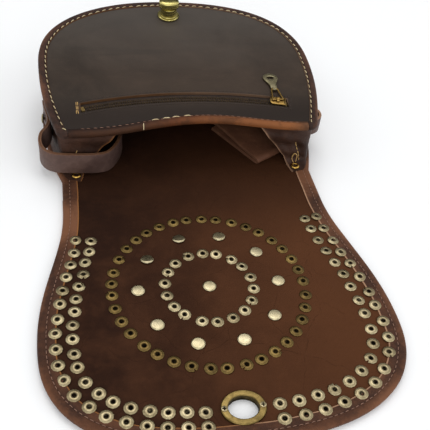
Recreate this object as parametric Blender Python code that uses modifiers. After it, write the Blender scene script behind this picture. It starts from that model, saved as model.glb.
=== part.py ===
"""Riveted leather saddle bag, lying open on its back with the flap folded out flat.

Metres, +Z up. +Y runs from the flap's tip to the bottom of the bag, and X is across it.
The origin is under the middle of the bag, on the surface that it lies on.
"""
import math

import bmesh
import bpy
from mathutils import Vector

# Leather, edge binding and the clearance between pieces that touch
LEATHER = 0.0024
BINDING_WALL = 0.0012
BINDING_REACH = 0.0075
SEAM_GAP = 0.0003
CUT_OVERRUN = 0.002

# Body of the bag, to the outer edge of its binding
NECK_HALF_WIDTH = 0.1112
BODY_HALF_WIDTH = 0.1277
BODY_WIDEST = 0.100
BODY_LENGTH = 0.197
BODY_ROUNDNESS = 2.3
MOUTH_CORNER = 0.009
MOUTH_SCOOP = 0.006
MOUTH_SETBACK = 0.0025
DEPTH_AT_MOUTH = 0.050
DEPTH_AT_BOTTOM = 0.0695

# Gusset
GUSSET_LEATHER = 0.002
GUSSET_INSET = 0.004
GUSSET_BOW = 0.004
GUSSET_CUT_BACK = 0.010

# Flap, measured from the middle of its lock ring
FLAP_HALF_WIDTH = 0.1307
FLAP_WIDEST = 0.067
NECK_START = 0.195
FLAP_TIP = 0.0245
RING_FROM_FOLD = 0.1823
FLAP_ROUNDNESS = 2.6
FLAP_CLEARANCE = 0.0052
ROOT_CLOSED_ANGLE = math.radians(81)
FOLD_RELIEF = 0.0022

# Hollow rivets and cap studs of the flap
RIVET_RADIUS = 0.0050
RIVET_HOLE = 0.0017
RIVET_HOLE_DEPTH = 0.0028
RIVET_FLANGE = 0.0010
RIVET_HEAD = 0.0013
RIVET_HEAD_TOP = 0.0034
RIVET_BITE_SHARE = 0.75
RIVET_SIDES = 6
RIVET_HOLE_SIDES = 4
RIVET_HEAD_SIDES = 4
ROSETTE_FROM_RING = 0.1040
ROSETTE_OFFSET = -0.0045
OUTER_CIRCLE = 0.0731
OUTER_CIRCLE_COUNT = 37
INNER_CIRCLE = 0.0336
INNER_CIRCLE_COUNT = 18
STUD_CIRCLE = 0.0537
STUD_CIRCLE_COUNT = 10
STUD_RADIUS = 0.0053
STUD_CAP = 0.0011
STUD_SHANK = 0.0012
CROWN_SHARE = 0.8
STUD_SIDES = 6
EDGE_ROW_INSETS = (0.0129, 0.0240)
EDGE_ROW_STOP = 0.0245
LEFT_ROW_START = 0.160
LEFT_ROW_COUNT = 19
RIGHT_ROW_START = 0.171
RIGHT_ROW_COUNT = 18

# Oval lock ring in the flap
RING_HALF_LENGTH = 0.0153
RING_HALF_WIDTH = 0.0128
RING_OPENING_LENGTH = 0.0103
RING_OPENING_WIDTH = 0.0084
RING_PLATE = 0.0014
RING_BACK_PLATE = 0.0011
RING_BARREL = 0.0006
RING_SCREW_PLACE = 0.0129
SCREW_RADIUS = 0.0008
SCREW_HEAD = 0.0014
SCREW_HEAD_HEIGHT = 0.0006

# Turn-lock post on the front panel
POST_FLANGE = 0.0109
POST_FLANGE_HEIGHT = 0.002
POST_STEM = 0.008
POST_STEM_HEIGHT = 0.0084
POST_GROOVE = 0.0006
POST_TAIL = 0.003
POST_WASHER = 0.010
POST_WASHER_HEIGHT = 0.0012
POST_TAIL_END = 0.0008
SPINDLE_RADIUS = 0.0025
SPINDLE_HEIGHT = 0.004
KNOB_HALF_LENGTH = 0.0099
KNOB_HALF_WIDTH = 0.0074
KNOB_HEIGHT = 0.0070
KNOB_ROUNDING = 0.0014
KNOB_ROUNDING_STEPS = 2
RIM_ANGLE = math.radians(60)

# Zip pocket: the zip lies on an arc whose middle is furthest from the mouth
ZIP_FROM_MOUTH = 0.046
ZIP_RADIUS = 0.390
ZIP_HALF_LENGTH = 0.092
ZIP_SLOT = 0.0045
TAPE_THICKNESS = 0.0008
TAPE_WIDTH = 0.011
TEETH_GAP = 0.0008
TEETH_WIDTH = 0.0021
TEETH_HEIGHT = 0.0024
ZIP_STOP_LENGTH = 0.003
SLIDER_HALF_LENGTH = 0.0070
SLIDER_HALF_WIDTH = 0.0049
SLIDER_PLATE = 0.0010
SLIDER_LIFT = 0.0004
SLIDER_NECK = 0.00045
SLIDER_NECK_LENGTH = 0.0035
SLIDER_REST = 0.083
NOSE_SHARE = 0.62
BRIDGE_HALF_LENGTH = 0.0014
BRIDGE_HALF_SPAN = 0.0030
BRIDGE_HEIGHT = 0.0030
BRIDGE_WALL = 0.0008
LINK_WIRE = 0.0007
LINK_LENGTH = 0.0150
LINK_HALF_WIDE = 0.0048
LINK_HALF_NARROW = 0.0028
TAG_LENGTH = 0.024
TAG_HALF_WIDTH = 0.0070
TAG_NECK = 0.0048
TAG_NECK_START = 0.0030
TAG_TAB = 0.0017
TAG_THICKNESS = 0.0013
TAG_HOLE_LENGTH = 0.0034
TAG_HOLE_WIDTH = 0.0020
TAG_EYE = 0.0007
POCKET_HALF_WIDTH = 0.1025
POCKET_START = 0.016
POCKET_LENGTH = 0.110
POCKET_WALL = 0.0012
POCKET_HOLLOW = 0.0036

# Eyelets at the neck corners
EYELET_RADIUS = 0.0042
EYELET_HOLE = 0.0020
EYELET_FLANGE = 0.0008
EYELET_FROM_EDGE = 0.0125
EYELET_FROM_FOLD = 0.0065

# Shoulder strap
STRAP_WIDTH = 0.020
STRAP_THICKNESS = 0.003
STRAP_WIDE = 0.038
STRAP_CLEARANCE = 0.0005
STRAP_LAYERS = 6
STRAP_LAYER_STEP = 0.0042
STRAP_RUN = 0.120
STRAP_STOW = 0.137
SHOULDER_UPPER = 0.100
SHOULDER_LOWER = 0.060
SHOULDER_BEND = 0.004
SHOULDER_TIP_X = 0.078
SHOULDER_TIP_Y = 0.024
SHOULDER_TURN = math.radians(30.6)
STRAP_SIDE = (0.074, 0.060, 0.046)
STRAP_SIDE_HEIGHT = 0.0275
# Its route at the mouth: how far in from the body's widest edge, how far behind the fold, and how high
STRAP_DROP = ((0.0015, 0.034, 0.0235), (0.0009, 0.024, 0.0190))
STRAP_LOOP = ((0.0042, 0.0140), (0.0117, 0.0075), (0.0227, 0.0050), (0.0347, 0.0044), (0.0462, 0.0060),
              (0.0562, 0.0110), (0.0637, 0.0200), (0.0682, 0.0320), (0.0697, 0.0450), (0.0677, 0.0600),
              (0.0637, 0.0750), (0.0597, 0.0900))
STRAP_RIVET = 0.0045
STRAP_RIVET_CAP = 0.0011

# Leather loop on the right side
LOOP_FROM_MOUTH = 0.046
LOOP_HALF_LENGTH = 0.013
LOOP_REACH = 0.012
LOOP_WALL = 0.0028
LOOP_BACK = 0.0017
LOOP_SEAT = 0.0008
LOOP_HEIGHT = 0.016
LOOP_MIDDLE = 0.0275

# Smoothness
SIDE_STEPS = 5
FLAP_SIDE_STEPS = 7
FINE_STEPS = 64
BOTTOM_STEPS = 8
CORNER_STEPS = 3
ARC_STEPS = 14
MOUTH_STEPS = 7
ROUND_SIDES = 18
SMALL_SIDES = 9
BEND_STEPS = 6
TURN_SHARES = (0.25, 0.5, 0.75)
BOW_ROWS = 5
WELD = 0.00001
FLAT_ENOUGH = math.radians(0.1)
SHARP_EDGE = math.radians(35)
QUARTER = math.pi / 2
FULL_TURN = 2 * math.pi

# Sizes that follow from the ones above
BINDING_THICKNESS = 2 * BINDING_WALL + LEATHER + 2 * SEAM_GAP
LEATHER_LOW = BINDING_WALL + SEAM_GAP
LEATHER_TOP = LEATHER_LOW + LEATHER
TILT = math.asin((DEPTH_AT_BOTTOM - DEPTH_AT_MOUTH) / BODY_LENGTH)
MOUTH_RISE = (DEPTH_AT_MOUTH - LEATHER_TOP) * math.cos(TILT) - MOUTH_SETBACK * math.sin(TILT)
ROOT_LENGTH = (FLAP_CLEARANCE + MOUTH_RISE) / math.sin(ROOT_CLOSED_ANGLE + TILT)
FOLD_OVERHANG = ROOT_LENGTH * math.cos(ROOT_CLOSED_ANGLE) + MOUTH_SETBACK
FOLD_RISE = ROOT_LENGTH * math.sin(ROOT_CLOSED_ANGLE) + LEATHER_TOP - DEPTH_AT_MOUTH
POST_FROM_MOUTH = RING_FROM_FOLD + FOLD_RISE * math.sin(TILT) - FOLD_OVERHANG * math.cos(TILT)
FLAP_LENGTH = ROOT_LENGTH + RING_FROM_FOLD + FLAP_TIP
BINDING_UNDER = LEATHER + SEAM_GAP + BINDING_WALL
BODY_REACH = MOUTH_SETBACK + BODY_LENGTH * math.cos(TILT) + BINDING_UNDER * math.sin(TILT)
FOLD_Y = (FLAP_LENGTH - BODY_REACH) / 2
MOUTH_Y = FOLD_Y + MOUTH_SETBACK
PANEL_INSET = BINDING_WALL + SEAM_GAP
GUSSET_TOP = BINDING_UNDER + SEAM_GAP
ZIP_CENTRE = ZIP_FROM_MOUTH - ZIP_RADIUS
ZIP_HALF_ANGLE = math.asin(ZIP_HALF_LENGTH / ZIP_RADIUS)
SLIDER_ANGLE = math.asin(SLIDER_REST / ZIP_RADIUS)
TAPE_TOP = -LEATHER - SEAM_GAP
TAPE_MIDDLE = TAPE_TOP - TAPE_THICKNESS / 2
TEETH_OUTER = TEETH_GAP + TEETH_WIDTH
LOWER_PLATE_TOP = TAPE_MIDDLE - TEETH_HEIGHT / 2 - SEAM_GAP
LINK_AXIS = SLIDER_LIFT + SLIDER_PLATE + SEAM_GAP + LINK_WIRE
TAG_BORE = LINK_WIRE + SEAM_GAP
TAG_AXIS = TAG_BORE + TAG_EYE + SEAM_GAP
LINK_DROP = math.asin((LINK_AXIS - TAG_AXIS) / LINK_LENGTH)
TAG_DROP = math.asin((TAG_AXIS - TAG_THICKNESS / 2 - SEAM_GAP) / TAG_LENGTH)
POST_STEM_TOP = SEAM_GAP + POST_FLANGE_HEIGHT + POST_STEM_HEIGHT
KNOB_BASE = POST_STEM_TOP + SEAM_GAP
STRAP_FLOOR = BINDING_THICKNESS + STRAP_CLEARANCE
STRAP_MIDDLE = STRAP_FLOOR + STRAP_WIDTH / 2

# Colours, roughness and metallic value of each material
FINISHES = {
    "front_leather": ((0.048, 0.040, 0.034), 0.42, 0.0),
    "flap_leather": ((0.062, 0.024, 0.013), 0.62, 0.0),
    "binding_leather": ((0.095, 0.042, 0.027), 0.60, 0.0),
    "mouth_leather": ((0.170, 0.065, 0.030), 0.55, 0.0),
    "strap_leather": ((0.070, 0.036, 0.026), 0.55, 0.0),
    "silver_metal": ((0.560, 0.530, 0.440), 0.30, 1.0),
    "brass_metal": ((0.330, 0.230, 0.075), 0.34, 1.0),
    "dark_tape": ((0.030, 0.022, 0.017), 0.80, 0.0),
}

for old in list(bpy.data.objects):
    bpy.data.objects.remove(old, do_unlink=True)

parts = bpy.data.collections.new("riveted_bag")
cutters = bpy.data.collections.new("cutters")
bpy.context.scene.collection.children.link(parts)
bpy.context.scene.collection.children.link(cutters)


def material(name):
    """The named finish as a Principled material, made once."""
    found = bpy.data.materials.get(name)
    if found:
        return found
    colour, roughness, metallic = FINISHES[name]
    made = bpy.data.materials.new(name)
    made.use_nodes = True
    shader = made.node_tree.nodes["Principled BSDF"]
    shader.inputs["Base Color"].default_value = (*colour, 1)
    shader.inputs["Roughness"].default_value = roughness
    shader.inputs["Metallic"].default_value = metallic
    return made


def frame_empty(name, location, turn=(0, 0, 0), parent=None):
    """An empty that carries a group of parts, or stands on a joint's axis."""
    empty = bpy.data.objects.new(name, None)
    parts.objects.link(empty)
    empty.parent = parent
    empty.location = location
    empty.rotation_euler = turn
    return empty


def place(name, mesh, finish, parent=None, location=(0, 0, 0), turn=(0, 0, 0)):
    """A part of the bag in the parts collection, shaded smooth with sharp edges kept."""
    part = bpy.data.objects.new(name, mesh)
    parts.objects.link(part)
    part.parent = parent
    part.location = location
    part.rotation_euler = turn
    mesh.materials.clear()
    mesh.materials.append(material(finish))
    mesh.shade_smooth()
    mesh.set_sharp_from_angle(angle=SHARP_EDGE)
    return part


def mesh_from(bm, name):
    """Closes the bmesh with its faces pointing out and hands it over as a mesh."""
    bmesh.ops.recalc_face_normals(bm, faces=bm.faces)
    mesh = bpy.data.meshes.new(name)
    bm.to_mesh(mesh)
    bm.free()
    return mesh


def cutter(name, mesh, parent=None, location=(0, 0, 0), turn=(0, 0, 0)):
    """A cutting body, kept out of the render."""
    tool = bpy.data.objects.new(name, mesh)
    cutters.objects.link(tool)
    tool.parent = parent
    tool.location = location
    tool.rotation_euler = turn
    tool.hide_render = True
    tool.display_type = "WIRE"
    return tool


def cut(part, tool, operation="DIFFERENCE"):
    """Cuts the tool out of the part, or joins it on."""
    modifier = part.modifiers.new(tool.name, "BOOLEAN")
    modifier.operation = operation
    modifier.object = tool
    modifier.solver = "EXACT"


def final_mesh(holder):
    """The mesh of an object as its curve settings or modifiers leave it; the object is taken away."""
    mesh = bpy.data.meshes.new_from_object(holder.evaluated_get(bpy.context.evaluated_depsgraph_get()))
    bpy.data.objects.remove(holder, do_unlink=True)
    return mesh


def closed_curve(name, outline, dimensions):
    """A closed curve through the outline's points, with an object to hold it."""
    curve = bpy.data.curves.new(name, "CURVE")
    curve.dimensions = dimensions
    spline = curve.splines.new("POLY")
    spline.points.add(len(outline) - 1)
    for point, (x, y) in zip(spline.points, outline):
        point.co = (x, y, 0, 1)
    spline.use_cyclic_u = True
    holder = bpy.data.objects.new(name, curve)
    cutters.objects.link(holder)
    return curve, holder


def slab(name, outline, low, high):
    """A flat outline as a filled 2D curve, extruded from low to high and made a closed mesh."""
    curve, holder = closed_curve(name, outline, "2D")
    curve.fill_mode = "BOTH"
    curve.extrude = (high - low) / 2
    bm = bmesh.new()
    bm.from_mesh(final_mesh(holder))
    bmesh.ops.remove_doubles(bm, verts=bm.verts, dist=WELD)
    bmesh.ops.dissolve_limit(bm, angle_limit=FLAT_ENOUGH, verts=bm.verts, edges=bm.edges)
    bmesh.ops.translate(bm, verts=bm.verts, vec=(0, 0, (low + high) / 2))
    return mesh_from(bm, name)


def rectangle(half_x, half_y, middle_y=0):
    """Corners of a rectangle, anticlockwise."""
    return [(-half_x, middle_y - half_y), (half_x, middle_y - half_y),
            (half_x, middle_y + half_y), (-half_x, middle_y + half_y)]


def half_circle():
    """Angles of a half circle that faces +X, from its -Y end to its +Y end."""
    return [math.pi * i / SMALL_SIDES - QUARTER for i in range(SMALL_SIDES + 1)]


def loft(name, rings):
    """A closed skin over a row of rings with equal numbers of points, with both ends filled."""
    bm = bmesh.new()
    rows = [[bm.verts.new(point) for point in ring] for ring in rings]
    for near, far in zip(rows, rows[1:]):
        for i in range(len(near)):
            j = (i + 1) % len(near)
            bm.faces.new((near[i], near[j], far[j], far[i]))
    bm.faces.new(rows[0])
    bm.faces.new(rows[-1])
    return mesh_from(bm, name)


def turned(name, profile, steps=ROUND_SIDES):
    """A solid turned about Z from a profile of (radius, height), run from the top down."""
    bm = bmesh.new()
    verts = [bm.verts.new((radius, 0, height)) for radius, height in profile]
    for a, b in zip(verts, verts[1:]):
        bm.edges.new((a, b))
    bmesh.ops.spin(bm, geom=bm.verts[:] + bm.edges[:], cent=(0, 0, 0), axis=(0, 0, 1),
                   angle=FULL_TURN, steps=steps, use_merge=True)
    bmesh.ops.remove_doubles(bm, verts=bm.verts, dist=WELD)
    return mesh_from(bm, name)


def rod(bm, radius, low, high, centre=(0, 0), sides=RIVET_SIDES, top=None):
    """Adds a capped cylinder, or a cone with its own top radius, to the bmesh."""
    made = bmesh.ops.create_cone(bm, cap_ends=True, cap_tris=False, segments=sides, radius1=radius,
                                 radius2=radius if top is None else top, depth=high - low)
    bmesh.ops.translate(bm, verts=made["verts"], vec=(*centre, (low + high) / 2))
    return made["verts"]


def oval(half_x, half_y, centre=(0, 0), steps=ROUND_SIDES):
    """Points of an ellipse, anticlockwise."""
    angles = [FULL_TURN * i / steps for i in range(steps)]
    return [(centre[0] + half_x * math.cos(a), centre[1] + half_y * math.sin(a)) for a in angles]


def body_side(distance):
    """Half width of the body at a distance from the mouth, on its straight part."""
    share = (BODY_WIDEST - distance) / BODY_WIDEST
    return BODY_HALF_WIDTH - (BODY_HALF_WIDTH - NECK_HALF_WIDTH) * share * share


def superellipse(half_x, half_y, roundness, steps):
    """Points of a quarter of a superellipse, from its side to its tip."""
    points = []
    for i in range(1, steps + 1):
        angle = QUARTER * i / steps
        power = 2 / roundness
        x = half_x * max(math.cos(angle), 0) ** power if i < steps else 0
        points.append((x, half_y * math.sin(angle) ** power))
    return points


def mouth_corner():
    """Points round the front panel's right mouth corner."""
    side = body_side(MOUTH_CORNER) - MOUTH_CORNER
    angles = [QUARTER * i / CORNER_STEPS for i in range(CORNER_STEPS)]
    corner = [(side + MOUTH_CORNER * math.sin(a), MOUTH_CORNER * (1 - math.cos(a))) for a in angles]
    return [(side - BINDING_WALL, 0)] + corner


def body_half(start):
    """Right half of the body's U, from a start line near the mouth to the bottom's middle."""
    points = []
    for i in range(SIDE_STEPS + 1):
        distance = start + (BODY_WIDEST - start) * i / SIDE_STEPS
        points.append((body_side(distance), distance))
    tip = BODY_LENGTH - BODY_WIDEST
    for x, y in superellipse(BODY_HALF_WIDTH, tip, BODY_ROUNDNESS, BOTTOM_STEPS):
        points.append((x, BODY_WIDEST + y))
    return points


def flap_half(stop):
    """Right half of the flap's U from its ring, from a line near the neck to the tip's middle."""
    points = []
    for i in range(FLAP_SIDE_STEPS + 1):
        along = stop + (FLAP_WIDEST - stop) * i / FLAP_SIDE_STEPS
        points.append((flap_side(along), along))
    for x, y in superellipse(FLAP_HALF_WIDTH, FLAP_WIDEST + FLAP_TIP, FLAP_ROUNDNESS, BOTTOM_STEPS):
        points.append((x, FLAP_WIDEST - y))
    return points


def flap_side(along):
    """Half width of the flap between its widest line and its neck, an even S curve."""
    share = min(max((along - FLAP_WIDEST) / (NECK_START - FLAP_WIDEST), 0), 1)
    return FLAP_HALF_WIDTH - (FLAP_HALF_WIDTH - NECK_HALF_WIDTH) * (1 - math.cos(math.pi * share)) / 2


def mirrored(half):
    """A whole U from its right half, which ends on the middle line."""
    return half + [(-x, y) for x, y in reversed(half[:-1])]


def normals(path):
    """Unit normals at the points of an open path, to the right of its direction."""
    found = []
    for i, _ in enumerate(path):
        ax, ay = path[max(i - 1, 0)]
        bx, by = path[min(i + 1, len(path) - 1)]
        length = math.hypot(bx - ax, by - ay)
        found.append(((by - ay) / length, (ax - bx) / length))
    return found


def inset(path, distance):
    """The path moved to the inside of its U by a distance."""
    step = inward(path) * distance
    return [(x + step * nx, y + step * ny) for (x, y), (nx, ny) in zip(path, normals(path))]


def inward(path):
    """Plus one where the right-hand normals point into the U, minus one where they point out."""
    (nx, _) = normals(path)[len(path) // 4]
    x = path[len(path) // 4][0]
    return -1 if nx * x > 0 else 1


def binding_section(low):
    """Section of the edge binding, (depth, height): leather folded over with a slot for the panel."""
    high = low + BINDING_THICKNESS
    return [(BINDING_REACH, low), (0, low), (0, high), (BINDING_REACH, high),
            (BINDING_REACH, high - BINDING_WALL), (BINDING_WALL, high - BINDING_WALL),
            (BINDING_WALL, low + BINDING_WALL), (BINDING_REACH, low + BINDING_WALL)]


def channel(name, path, low):
    """Edge binding carried along the path of a U."""
    section = binding_section(low)
    side = inward(path)
    rings = []
    for (x, y), (nx, ny) in zip(path, normals(path)):
        rings.append([(x + side * nx * depth, y + side * ny * depth, z) for depth, z in section])
    return loft(name, rings)


def mouth_line(x):
    """Distance that the mouth edge is scooped in at x."""
    share = min(abs(x) / (NECK_HALF_WIDTH - MOUTH_CORNER), 1)
    return MOUTH_SCOOP * (1 + math.cos(math.pi * share)) / 2


def arc_band(inner, outer, half_angle, steps=ARC_STEPS, middle=0):
    """A stretch of the zip's arc as an outline between two radii, in the front panel's plane."""
    angles = [middle + half_angle * (2 * i / steps - 1) for i in range(steps + 1)]
    edges = []
    for radius in (ZIP_RADIUS + outer, ZIP_RADIUS + inner):
        edges.append([(radius * math.sin(a), ZIP_CENTRE + radius * math.cos(a)) for a in angles])
    far, near = edges
    return far + near[::-1]


def front_to_world(x, distance, height):
    """A point given in the front panel's own plane, in the bag's frame."""
    return Vector((x, MOUTH_Y + distance * math.cos(TILT) - height * math.sin(TILT),
                   DEPTH_AT_MOUTH + distance * math.sin(TILT) + height * math.cos(TILT)))


# Frames that carry the pieces: the tilted front panel, and the two fold lines of the flap
front = frame_empty("front_frame", (0, MOUTH_Y, DEPTH_AT_MOUTH), (TILT, 0, 0))
back = frame_empty("back_frame", (0, FOLD_Y, 0))
root_fold = frame_empty("root_fold", (0, FOLD_Y, LEATHER_TOP))
flap_fold = frame_empty("flap_fold", (0, -ROOT_LENGTH, 0), parent=root_fold)


def add_back_panel():
    """Back panel, from the fold line to the bottom, with its binding."""
    path = mirrored(body_half(FOLD_RELIEF))
    edge = inset(path, PANEL_INSET)
    corner = edge[0][0]
    outline = [(corner, SEAM_GAP)] + edge + [(-corner, SEAM_GAP)]
    place("back_panel", slab("back_panel", outline, LEATHER_LOW, LEATHER_TOP), "flap_leather", back)
    place("back_binding", channel("back_binding", path, 0), "binding_leather", back)


def add_front_panel():
    """Front panel with the zip slot and the post's hole, its binding and the mouth binding."""
    path = mirrored(mouth_corner() + body_half(MOUTH_CORNER))
    edge = inset(mirrored(body_half(MOUTH_CORNER)), PANEL_INSET)
    half = edge[0][0]
    steps = MOUTH_STEPS
    across = [half * (2 * i / steps - 1) for i in range(1, steps)]
    mouth = [(x, mouth_line(x) + PANEL_INSET) for x in across]
    panel = place("front_panel", slab("front_panel", edge + mouth, -LEATHER, 0), "front_leather", front)
    slot = slab("zip_slot", arc_band(-ZIP_SLOT, ZIP_SLOT, ZIP_HALF_ANGLE), -LEATHER - CUT_OVERRUN,
                CUT_OVERRUN)
    cut(panel, cutter("zip_slot", slot, front))
    bm = bmesh.new()
    rod(bm, POST_TAIL + SEAM_GAP, -LEATHER - CUT_OVERRUN, CUT_OVERRUN, (0, POST_FROM_MOUTH), ROUND_SIDES)
    cut(panel, cutter("post_hole", mesh_from(bm, "post_hole"), front))
    place("front_binding", channel("front_binding", path, -BINDING_UNDER), "binding_leather", front)
    reach = path[0][0] - 2 * SEAM_GAP
    line = [reach * (2 * i / steps - 1) for i in range(steps + 1)]
    mouth_path = [(x, mouth_line(x)) for x in line]
    section = binding_section(-BINDING_UNDER)
    rings = [[(x, y + depth, z) for depth, z in section] for x, y in mouth_path]
    place("mouth_binding", loft("mouth_binding", rings), "mouth_leather", front)


def gusset_bow(share):
    """How far the gusset draws in at a share of its height."""
    return GUSSET_BOW * (1 - math.cos(FULL_TURN * share)) / 2


def gusset_wall(distance):
    """How far out the strap and the side loop lie against the drawn-in gusset."""
    return body_side(distance) - GUSSET_INSET + (GUSSET_LEATHER - GUSSET_BOW) / 2 + STRAP_CLEARANCE


def add_gusset():
    """Side and bottom wall between the two panels, drawn in halfway up and deepest at the bottom."""
    path = mirrored(body_half(GUSSET_CUT_BACK))
    side = inward(path)
    rings = []
    for (x, y), (nx, ny) in zip(path, normals(path)):
        ring = []
        faces = ((GUSSET_INSET - GUSSET_LEATHER / 2, range(BOW_ROWS)),
                 (GUSSET_INSET + GUSSET_LEATHER / 2, reversed(range(BOW_ROWS))))
        for depth, rows in faces:
            for row in rows:
                share = row / (BOW_ROWS - 1)
                inwards = depth + gusset_bow(share)
                low = Vector((x + side * nx * inwards, FOLD_Y + y + side * ny * inwards,
                              BINDING_THICKNESS + SEAM_GAP))
                high = front_to_world(x + side * nx * inwards, y + side * ny * inwards, -GUSSET_TOP)
                ring.append(low.lerp(high, share))
        rings.append(ring)
    place("gusset", loft("gusset", rings), "flap_leather")


def add_flap_root():
    """Strip of the flap between its two folds, with a length of binding on each side."""
    half = NECK_HALF_WIDTH - PANEL_INSET
    outline = rectangle(half, ROOT_LENGTH / 2 - SEAM_GAP, -ROOT_LENGTH / 2)
    place("flap_root", slab("flap_root", outline, -LEATHER, 0), "flap_leather", root_fold)
    section = binding_section(-LEATHER_TOP)
    ends = (-FOLD_RELIEF, FOLD_RELIEF - ROOT_LENGTH)
    for name, side in (("root_binding_left", -1), ("root_binding_right", 1)):
        rings = [[(side * (NECK_HALF_WIDTH - depth), y, z) for depth, z in section] for y in ends]
        place(name, loft(name, rings), "binding_leather", root_fold)


def flap_path():
    """Outer edge of the flap below its second fold, in the second fold's frame."""
    top = RING_FROM_FOLD - FOLD_RELIEF
    return [(x, y - RING_FROM_FOLD) for x, y in mirrored(flap_half(top))]


def edge_row(depth, start, count):
    """Rivet places of one row along the flap's right edge, evenly spaced, ending beside the lock ring."""
    half = fine_half()
    row = inset(mirrored(half), depth)[:len(half)]
    row = [(x, y) for x, y in row if y <= start]
    lengths = [0]
    for (ax, ay), (bx, by) in zip(row, row[1:]):
        lengths.append(lengths[-1] + math.hypot(bx - ax, by - ay))
    stop = max(length for (x, _), length in zip(row, lengths) if x >= EDGE_ROW_STOP)
    places = []
    for k in range(count):
        wanted = stop * k / (count - 1)
        i = max(j for j, length in enumerate(lengths[:-1]) if length <= wanted)
        share = (wanted - lengths[i]) / (lengths[i + 1] - lengths[i])
        (ax, ay), (bx, by) = row[i], row[i + 1]
        places.append((ax + (bx - ax) * share, ay + (by - ay) * share))
    return places


def fine_half():
    """The flap's right half with close points, for measuring along its edge."""
    span = FLAP_WIDEST - NECK_START
    along = [NECK_START + span * i / FINE_STEPS for i in range(FINE_STEPS + 1)]
    points = [(flap_side(y), y) for y in along]
    quarter = superellipse(FLAP_HALF_WIDTH, FLAP_WIDEST + FLAP_TIP, FLAP_ROUNDNESS, FINE_STEPS)
    return points + [(x, FLAP_WIDEST - y) for x, y in quarter]


def circle_places(radius, count, turn=0):
    """Evenly spaced places on a circle round the rosette's middle."""
    angles = [turn + FULL_TURN * i / count for i in range(count)]
    return [(ROSETTE_OFFSET + radius * math.sin(a), ROSETTE_FROM_RING + radius * math.cos(a)) for a in angles]


def rivet_places():
    """All hollow rivets of the flap, measured from the lock ring: two circles and the edge rows."""
    places = circle_places(OUTER_CIRCLE, OUTER_CIRCLE_COUNT, math.pi / OUTER_CIRCLE_COUNT)
    places += circle_places(INNER_CIRCLE, INNER_CIRCLE_COUNT)
    for depth in EDGE_ROW_INSETS:
        places += [(-x, y) for x, y in edge_row(depth, LEFT_ROW_START, LEFT_ROW_COUNT)]
        places += edge_row(depth, RIGHT_ROW_START, RIGHT_ROW_COUNT)
    return places


def stud_places():
    """The cap studs: a circle of them and one in the middle."""
    return circle_places(STUD_CIRCLE, STUD_CIRCLE_COUNT, math.pi / STUD_CIRCLE_COUNT) + circle_places(0, 1)


def add_flap_panel():
    """Flap leather with its hollow rivets, which are clinched through it, and its binding."""
    path = flap_path()
    edge = inset(path, PANEL_INSET)
    outline = [(edge[0][0], -SEAM_GAP)] + edge + [(edge[-1][0], -SEAM_GAP)]
    panel = place("flap_panel", slab("flap_panel", outline, -LEATHER, 0), "flap_leather", flap_fold)
    rivets = bmesh.new()
    holes = bmesh.new()
    for x, y in rivet_places():
        centre = (x, y - RING_FROM_FOLD)
        rod(rivets, RIVET_RADIUS, -LEATHER / 2, RIVET_FLANGE, centre)
        rod(holes, RIVET_HOLE, RIVET_FLANGE - RIVET_HOLE_DEPTH, RIVET_FLANGE + CUT_OVERRUN, centre,
            RIVET_HOLE_SIDES)
    heads = bmesh.new()
    for x, y in rivet_places():
        centre = (x, y - RING_FROM_FOLD)
        rod(heads, RIVET_HEAD_TOP, -LEATHER - RIVET_HEAD, -LEATHER * RIVET_BITE_SHARE, centre,
            RIVET_HEAD_SIDES, RIVET_RADIUS)
    cut(panel, cutter("rivet_flanges", mesh_from(rivets, "rivet_flanges"), flap_fold), "UNION")
    cut(panel, cutter("rivet_heads", mesh_from(heads, "rivet_heads"), flap_fold), "UNION")
    for x, y in stud_places():
        rod(holes, STUD_SHANK + SEAM_GAP, -LEATHER - CUT_OVERRUN, CUT_OVERRUN, (x, y - RING_FROM_FOLD))
    for side in (-1, 1):
        rod(holes, SCREW_RADIUS + SEAM_GAP, -LEATHER - CUT_OVERRUN, CUT_OVERRUN,
            (side * RING_SCREW_PLACE, -RING_FROM_FOLD))
    cut(panel, cutter("rivet_holes", mesh_from(holes, "rivet_holes"), flap_fold))
    around = RING_BARREL + SEAM_GAP
    ring_hole = slab("ring_hole", oval(RING_OPENING_LENGTH + around, RING_OPENING_WIDTH + around,
                                       (0, -RING_FROM_FOLD)), -LEATHER - CUT_OVERRUN, CUT_OVERRUN)
    cut(panel, cutter("ring_hole", ring_hole, flap_fold))
    place("flap_binding", channel("flap_binding", path, -LEATHER_TOP), "binding_leather", flap_fold)


def add_studs():
    """Cap studs: a flat cap on the inner side, a shank through the leather and a cap outside."""
    profile = [(0, SEAM_GAP + STUD_CAP), (STUD_RADIUS * CROWN_SHARE, SEAM_GAP + STUD_CAP),
               (STUD_RADIUS, SEAM_GAP), (STUD_SHANK, SEAM_GAP), (STUD_SHANK, -LEATHER - SEAM_GAP),
               (STUD_RADIUS, -LEATHER - SEAM_GAP),
               (STUD_RADIUS * CROWN_SHARE, -LEATHER - SEAM_GAP - STUD_CAP),
               (0, -LEATHER - SEAM_GAP - STUD_CAP)]
    mesh = turned("cap_stud", profile, STUD_SIDES)
    for number, (x, y) in enumerate(stud_places(), 1):
        place(f"cap_stud_{number:02d}", mesh, "silver_metal", flap_fold, (x, y - RING_FROM_FOLD, 0))


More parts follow.
